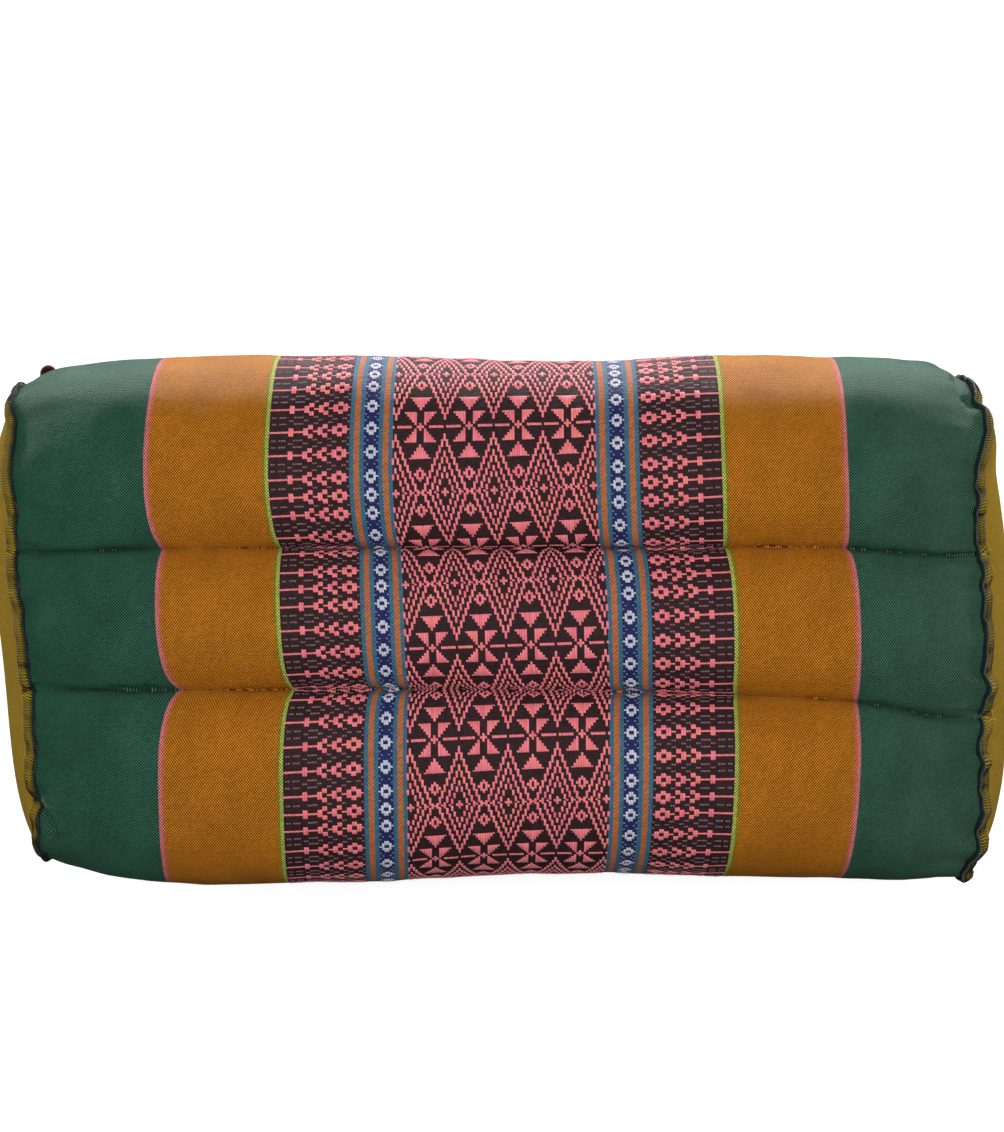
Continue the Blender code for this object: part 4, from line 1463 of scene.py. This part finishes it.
def closed_average(values, reach):
    """Each point of a ring averaged with its neighbours."""
    total = sum(np.roll(values, step, axis=0) for step in range(-reach, reach + 1))
    return total / (2 * reach + 1)


def evenly(values, distances):
    """A ring's values read at CORD_POINTS places evenly spaced along the ring."""
    even = np.linspace(0.0, distances[-1], CORD_POINTS, endpoint=False)
    closed = np.concatenate((values, values[:1]))
    return np.column_stack([np.interp(even, distances, closed[:, axis]) for axis in range(3)])


def corner_share(points):
    """How near each point of a seam is to a corner of the face, from 0 to 1."""
    away = (np.abs(points[:, 1]), points[:, 2])
    across, up = (np.clip((value - start) / ramp, 0.0, 1.0)
                  for value, start, ramp in zip(away, CORNER_START, CORNER_RAMP))
    return across * up


def seam_frame(side):
    """An end seam's evenly spaced points, its directions aside and proud, widths and length."""
    edge = sleeve[END_STATIONS[side]]
    distances = ring_distances(edge)
    points = evenly(edge, distances)
    to_panel, to_sleeve = dome_ring(side, NEAR_SHARE) - edge, sleeve[NEAR_STATIONS[side]] - edge
    aside = evenly(closed_average(unit(to_panel) - unit(to_sleeve), ASIDE_REACH), distances)
    forward = unit(closed_average(np.roll(points, -1, axis=0) - np.roll(points, 1, axis=0), FORWARD_REACH))
    aside = unit(aside - forward * np.sum(aside * forward, axis=1, keepdims=True))
    proud = np.cross(forward, aside)
    if np.sum(proud * (points - points.mean(axis=0))) < 0:
        proud = -proud
    cos, sin = math.cos(EDGE_LEANS[side]), math.sin(EDGE_LEANS[side])
    widths = 1.0 - CORNER_NARROWING[side] * corner_share(points)
    return points, aside * cos + proud * sin, proud * cos - aside * sin, widths, distances[-1]


def edge_ring(seam, across, height):
    """A ring beside an end seam, at distances aside and proud of it in the seam's frame."""
    points, aside, proud, widths, _ = seam
    widened = across * widths if across > 0 else np.full(len(points), across)
    return points + aside * widened[:, None] + proud * np.reshape(height, (-1, 1))


print("seam lengths:", " and ".join(f"{seam_frame(side)[-1]:.1f}" for side in END_PLACES), "mm")

# %% [markdown]
# ## Folded edges
# The edges of both cloths are folded over and form the two flanks of the ridge, a narrow
# green one and a wide mustard one. The green one is coloured darker than the green stripe,
# as painted shade for the shadow it lies in beside the ridge. Each is a small section of
# (aside, proud) points carried round the whole end. The ridge rises and sinks a little on its
# way, as a hand-sewn one does.
# %% Folded edges
EDGE_SECTIONS = {
    "sleeve": ((-1.2, -0.5), (-1.0, 0.4), (-0.8, 1.1), (-0.55, 1.55), (-0.3, 1.65), (-0.05, 1.1)),
    "panel": ((3.5, -1.7), (3.1, -0.7), (2.5, 0.25), (1.8, 0.95), (1.1, 1.45), (0.45, 1.7), (0.1, 1.2)),
}
EDGE_RISE_SHARE = 0.3
EDGE_LANES = 6
LANE_START, LANE_FILL, LANE_ROOM = 0.02, 0.94, 1.02
LEVEL_MARGIN = 0.1
LEVEL_WIDTH = 0.9
edge_cloths = {
    # The green flank is the green stripe's cloth made darker: painted shade
    "sleeve": striped_cloth(
        "folded green edge cloth with painted shade", ((0.0, srgb(22, 52, 40)), ), FINE_WEAVE, 0.55, (0.1, srgb(120, 180, 150)),
        {"fleck": 0.2, "slow": 0.15, "twill": 0.1, "slub": 0.1, "float": 0.3}),
    "panel": striped_cloth(
        "folded mustard edge cloth", ((0.0, srgb(146, 122, 34)), ), PANEL_WEAVE, 0.6,
        (0.02, srgb(230, 210, 140)), {"fleck": 0.1, "slow": 0.12, "twill": 0.15, "slub": 0.06, "float": 0.1}),
}


def folded_edge(part, side, seam, rise_change):
    """The folded edge of the sleeve or the panel, swept round an end seam."""
    points, length, section = seam[0], seam[-1], EDGE_SECTIONS[part]
    rings = np.array([edge_ring(seam, across, height + max(height, 0.0) * EDGE_RISE_SHARE * rise_change)
                      for across, height in section])
    rings[..., 2] = np.maximum(rings[..., 2], FLOOR_GAP)
    quads = grid_quads(len(section), len(points), wrap_columns=True)
    around = closed_columns(quads, len(points))
    level = quads // len(points)
    lane = np.minimum(around.min(axis=1, keepdims=True) * EDGE_LANES // len(points), EDGE_LANES - 1)
    flat_u = (LANE_START + LANE_FILL * (around / len(points) * EDGE_LANES - lane)) / LANE_ROOM
    flat_v = (lane + LEVEL_MARGIN + (1 - 2 * LEVEL_MARGIN) * level / (len(section) - 1)) / EDGE_LANES
    cloth_map = np.stack((level * LEVEL_WIDTH, around * length / len(points)), axis=-1)
    piece = make_piece(f"{part}_seam_edge_{side}", rings.reshape(-1, 3), quads.tolist(), edge_cloths[part],
                       cloth_map, np.stack((flat_u, flat_v), axis=-1), f"seam_welt_{side}")
    face_outward(piece.data, points.mean(axis=0))
    print(piece.name, len(quads) * 2, "triangles")
    return piece


print("folded edges:", ", ".join(EDGE_SECTIONS))

# %% [markdown]
# ## Stitches over the seam
# Dark thread is whipped over the ridge in close leaning stitches, and four rows of shorter
# ones hold the mustard cloth down beside it. Array and curve modifiers could repeat one
# stitch along the seam. Here each stitch runs from ring to ring of the seam's frame, so it
# bends with the ridge and leans as a sewer's hand leaves it.
# %% Stitches over the seam
OVERCAST_PITCH = 0.72
OVERCAST_RADIUS = 0.24
OVERCAST_SLANT = 0.6
OVERCAST_ROUTES = {
    "left": ((-0.7, 1.35), (-0.4, 1.75), (-0.1, 1.85), (0.3, 1.85), (0.8, 1.7)),
    "right": ((-1.05, 0.7), (-0.8, 1.4), (-0.4, 1.8), (0.3, 1.85), (0.95, 1.6)),
}
WHIP_PITCH = 0.8
WHIP_RADIUS = 0.19
WHIP_SLANT = 0.25
WHIP_ROWS = (
    ((0.95, 1.62), (1.4, 1.38)),
    ((1.6, 1.2), (2.05, 0.88)),
    ((2.25, 0.68), (2.65, 0.25)),
    ((2.8, 0.0), (3.1, -0.5)),
)
THREAD_FLOOR_GAP = 0.3
overcast_thread = thread_finish("overcast thread", srgb(18, 24, 25), srgb(8, 11, 12), sheen=0.03)
whip_thread = thread_finish("whip stitch thread", srgb(36, 24, 8), srgb(16, 12, 6), sheen=0.0)


def leaning_stitches(rings, length, pitch, slant):
    """Paths of stitches that cross from ring to ring, each leaning forward by a slant."""
    rings = np.array(rings)
    count = int(length / pitch)
    starts = np.arange(count)[:, None] * (CORD_POINTS / count)
    lean = np.linspace(-0.5, 0.5, len(rings)) * slant / length * CORD_POINTS
    at = (starts + lean[None, :]) % CORD_POINTS
    low = np.floor(at).astype(int) % CORD_POINTS
    level = np.broadcast_to(np.arange(len(rings)), low.shape)
    t = (at - np.floor(at))[..., None]
    paths = rings[level, low] * (1 - t) + rings[level, (low + 1) % CORD_POINTS] * t
    paths[..., 2] = np.maximum(paths[..., 2], THREAD_FLOOR_GAP)
    return paths


def seam_stitches(side, seam):
    """The overcast stitches over the ridge and the rows of whip stitches beside it."""
    length = seam[-1]
    rings = [edge_ring(seam, across, height) for across, height in OVERCAST_ROUTES[side]]
    thread_tubes(f"overcast_stitches_{side}", leaning_stitches(rings, length, OVERCAST_PITCH, OVERCAST_SLANT),
                 OVERCAST_RADIUS, overcast_thread)
    rows = []
    for row, route in enumerate(WHIP_ROWS):
        row_start = round(0.5 * (row % 2) * WHIP_PITCH / length * CORD_POINTS)
        rings = [np.roll(edge_ring(seam, across, height), row_start, axis=0) for across, height in route]
        rows.append(leaning_stitches(rings, length, WHIP_PITCH, WHIP_SLANT))
    thread_tubes(f"whip_stitches_{side}", np.concatenate(rows), WHIP_RADIUS, whip_thread)


print("whip stitch rows:", len(WHIP_ROWS))

# %% [markdown]
# ## Standing end seams
# Now the parts of the seam come together. The seam first wanders a little from side to
# side, since no hand sews a true line. The two folded edges and their stitches follow it,
# and a grey cord thread wanders along the top of the ridge.
# %% Standing end seams
EDGE_WANDERS = {"left": 0.3, "right": 0.45}
EDGE_RISE_CHANGE = 0.5
CORD_RADII = {"left": 0.2, "right": 0.31}
CORD_PLACES = {"left": (-0.35, 1.62), "right": (-0.1, 2.0)}
CORD_WANDER = 0.3
TREMOR = 0.5
SEAM_SEEDS = {"left": 31, "right": 32}
# How many waves of each kind go round a seam, and what they add to the seam's seed
SEAM_WAVES = {"wander": (96, 0), "tremor": (210, 10), "cord": (150, 20), "rise": (130, 30)}
grey_cord = thread_finish("grey seam cord", srgb(66, 78, 74), srgb(28, 36, 34))
ring_at = np.arange(CORD_POINTS) / CORD_POINTS


def seam_wave(side, kind):
    """A soft random wave round an end seam, from -1 to 1."""
    count, added = SEAM_WAVES[kind]
    return soft_noise(0.0, ring_at, count, SEAM_SEEDS[side] + added)


def seam_cord(side, seam, rise_change):
    """The grey cord that lies along the top of the ridge and closes on itself."""
    across, height = CORD_PLACES[side]
    wander = CORD_WANDER * seam_wave(side, "cord")
    path = edge_ring(seam, across, height + EDGE_RISE_SHARE * rise_change) + seam[1] * wander[:, None]
    thread_tubes(f"seam_cord_{side}", np.concatenate((path, path[:1]))[None], CORD_RADII[side], grey_cord)


for side in END_PLACES:
    wander = EDGE_WANDERS[side] * (seam_wave(side, "wander") + TREMOR * seam_wave(side, "tremor"))
    points, aside, *rest = seam_frame(side)
    seam = (points + aside * wander[:, None], aside, *rest)
    rise_change = EDGE_RISE_CHANGE * seam_wave(side, "rise")
    for part in EDGE_SECTIONS:
        folded_edge(part, side, seam, rise_change)
    seam_stitches(side, seam)
    seam_cord(side, seam, rise_change)

# %% [markdown]
# ## The ribbon loop
# A short dark red ribbon, folded in half, is caught in the back narrow side near the left
# seam. It is a real strip of cloth, so it is made as a bent sheet with its own thickness
# and woven edges, and its flat length is the length of the path that it follows.
# %% The path of the ribbon
LOOP_CENTRE_X = -157.0
LOOP_ROOT_Y = 79.0
LOOP_OUTER_WIDTH = 5.6
LOOP_STAND = 7.4
LOOP_RIBBON_WIDTH = 6.0
LOOP_THICKNESS = 0.8
LOOP_DROOP = 0.7
LOOP_ARC_STEPS = 24
LOOP_LEG_STEPS = 6


def loop_path():
    """Middle line of the folded ribbon, in x and y, from one end to the other."""
    radius = (LOOP_OUTER_WIDTH - LOOP_THICKNESS) / 2
    arc_top = LOOP_ROOT_Y + LOOP_STAND - LOOP_OUTER_WIDTH / 2
    angle = math.pi * (1 - np.arange(LOOP_ARC_STEPS + 1) / LOOP_ARC_STEPS)
    arc = np.column_stack((LOOP_CENTRE_X + radius * np.cos(angle), arc_top + radius * np.sin(angle)))
    legs = np.linspace(0.0, 1.0, LOOP_LEG_STEPS)[:, None]
    first_leg = np.array([[LOOP_CENTRE_X - radius, LOOP_ROOT_Y]]) * (1 - legs) + arc[:1] * legs
    last_leg = arc[-1:] * (1 - legs) + np.array([[LOOP_CENTRE_X + radius, LOOP_ROOT_Y]]) * legs
    return np.concatenate((first_leg[:-1], arc, last_leg[1:]))


path = loop_path()
path_length = np.linalg.norm(np.diff(path, axis=0), axis=1).sum()
print("ribbon length", round(path_length, 1), "mm, width", LOOP_RIBBON_WIDTH, "mm")

# %% [markdown]
# ## The ribbon itself
# The path is carried up through the ribbon's width, leaning in towards its lower edge and
# bowed as pressed ribbon is. A solidify modifier then gives the sheet its thickness, which
# is simpler than modelling both faces and keeps the cloth's map on each of them.
# %% The ribbon itself
LOOP_WIDTH_CELLS = 10
LOOP_BOW = 0.5
RIBBON_WEAVE = {
    "warp": 0.3, "weft": 0.42, "twill": 0.0, "twill_pitch": 0.8, "lean": 1.0, "relief": 0.7, "shine": 0.16,
}
levels = np.linspace(-0.5, 0.5, LOOP_WIDTH_CELLS + 1)
droop = LOOP_DROOP * (levels - 0.5) * LOOP_RIBBON_WIDTH
ribbon_points = np.zeros((len(path), len(levels), 3))
ribbon_points[..., 0] = path[:, None, 0] + LOOP_BOW * np.sin(levels * math.pi)
ribbon_points[..., 1] = path[:, None, 1] + ACROSS_SHIFT + droop
ribbon_points[..., 2] = CENTRE_HEIGHT + levels * LOOP_RIBBON_WIDTH
ribbon_quads = grid_quads(len(path), len(levels))
ribbon_across = levels[ribbon_quads % len(levels)] * LOOP_RIBBON_WIDTH
ribbon_along = ribbon_quads // len(levels) * path_length / (len(path) - 1)
ribbon_cloth = striped_cloth(
    "loop ribbon cloth", ((0.0, srgb(66, 18, 20)), (2.5, srgb(86, 30, 28))), RIBBON_WEAVE, 0.5,
    (0.1, srgb(200, 120, 120)), {"fleck": 0.2, "slow": 0.1, "twill": 0.05, "slub": 0.1, "float": 0.2})
ribbon = make_piece("ribbon_loop_cloth", ribbon_points.reshape(-1, 3), ribbon_quads.tolist(), ribbon_cloth,
                    np.stack((ribbon_across, ribbon_along), axis=-1), None, "ribbon_loop")
thicken = ribbon.modifiers.new("ribbon thickness", "SOLIDIFY")
thicken.thickness = LOOP_THICKNESS * MM
thicken.offset = 0.0
print("ribbon thickness", LOOP_THICKNESS, "mm")

# %% [markdown]
# ## The camera
# The cushion is seen straight down on its face, so the camera hangs above it and looks
# along -Z. Its lens follows from its height and from how many of the picture's pixels cover
# one millimetre of the face, so that the cushion fills the frame as it does in the photo.
# %% The camera
PHOTO_HEIGHT = 1132
PIXELS_PER_MM = 3.12
FACE_HEIGHT = 120.0
CAMERA_ABOVE_FACE = 760.0
CAMERA_BACK = 14.8
SENSOR = 36.0
camera_data = bpy.data.cameras.new("camera")
camera_data.sensor_width = SENSOR
camera_data.lens = SENSOR * PIXELS_PER_MM * CAMERA_ABOVE_FACE / PHOTO_HEIGHT
camera_data.clip_start = 0.01
camera = bpy.data.objects.new("camera", camera_data)
camera.location = (0.0, CAMERA_BACK * MM, (FACE_HEIGHT + CAMERA_ABOVE_FACE) * MM)
bpy.context.scene.collection.objects.link(camera)
bpy.context.scene.camera = camera
print("camera lens", round(camera_data.lens, 2), "mm")

# %% [markdown]
# ## Soft lamps
# A large soft lamp hangs overhead. A low one lies at floor level behind the cushion, because
# the photograph is brightest along the back rim and darkest in front. Two small weak ones
# lie beyond the ends and brighten the outer edge of the mustard panels. Sizes and places
# are in metres here, as Blender's lamps take them.
# %% Soft lamps
LAMP_AIM = (0.0, 0.0, 0.08)
# Each lamp's name, place, width and height, and power in watts
LAMPS = (
    ("overhead lamp", (0.0, 0.1, 1.7), (0.7, 0.7), 22.0),
    ("low back lamp", (0.0, 0.25, 0.0), (1.0, 0.05), 4.2),
    ("low end lamp -1", (-0.335, 0.0, 0.01), (0.26, 0.05), 0.42),
    ("low end lamp +1", (0.335, 0.0, 0.01), (0.26, 0.05), 0.42),
)


def soft_lamp(name, place, size, power):
    """A rectangular lamp, width by height, that points from its place at the cushion."""
    data = bpy.data.lights.new(name, "AREA")
    data.shape = "RECTANGLE"
    data.size, data.size_y = size
    data.energy = power
    lamp = bpy.data.objects.new(name, data)
    lamp.location = place
    lamp.rotation_mode = "QUATERNION"
    lamp.rotation_quaternion = (Vector(LAMP_AIM) - Vector(place)).to_track_quat("-Z", "Y")
    bpy.context.scene.collection.objects.link(lamp)
    return lamp


for lamp_row in LAMPS:
    soft_lamp(*lamp_row)
print("lamps:", ", ".join(name for name, *_ in LAMPS))

# %% [markdown]
# ## A light tent
# Round the cushion hangs a pale tent of light, a little brighter above, behind and to the
# right, where the photograph is too. A plain grey world would do, but this slope keeps the
# sides of the channels apart. The standard view keeps the dyes as strong as they were set.
# %% A light tent
TENT_BASE = 0.07
TENT_SLOPES = (0.05, 0.09, 0.28)
TENT_LEAST = 0.03
world = bpy.data.worlds.new("light tent")
world.use_nodes = True
tent_tree = world.node_tree
toward = add_node(tent_tree, "SeparateXYZ", {0: add_node(tent_tree, "TexCoord").outputs["Generated"]})
glow = TENT_BASE
for axis in (2, 1, 0):
    glow = math_node(tent_tree, "MULTIPLY_ADD", toward.outputs[axis], TENT_SLOPES[axis], glow)
background = tent_tree.nodes["Background"]
background.inputs["Color"].default_value = (1.0, 1.0, 1.0, 1.0)
tent_tree.links.new(math_node(tent_tree, "MAXIMUM", glow, TENT_LEAST), background.inputs["Strength"])
bpy.context.scene.world = world
bpy.context.scene.view_settings.view_transform = "Standard"
print("light from straight above:", round(TENT_BASE + TENT_SLOPES[2], 2))

# %% [markdown]
# ## The floor
# The floor is plain, pale and very large, so that its edge never shows. It sends out a
# little light of its own, which keeps it white right up to the cushion, as in the
# photograph. It is kept out of mirrored and bounced light, or it would wash out the sides.
# %% The floor
FLOOR_REACH = 20.0
pale_floor, _, _ = new_finish("pale floor", {
    "Roughness": 0.9, "Specular IOR Level": 0.2, "Base Color": (0.72, 0.72, 0.72, 1.0),
    "Emission Color": (1.0, 1.0, 1.0, 1.0), "Emission Strength": 0.55})
FLOOR_CORNERS = ((-1, -1), (1, -1), (1, 1), (-1, 1))
corners = [(across * FLOOR_REACH, back * FLOOR_REACH, 0.0) for across, back in FLOOR_CORNERS]
floor_mesh = bpy.data.meshes.new("floor")
floor_mesh.from_pydata(corners, [], [(0, 1, 2, 3)])
floor_mesh.materials.append(pale_floor)
floor = bpy.data.objects.new("floor", floor_mesh)
bpy.context.scene.collection.objects.link(floor)
floor.visible_diffuse = False
floor.visible_glossy = False
print("floor", 2 * FLOOR_REACH, "m wide")
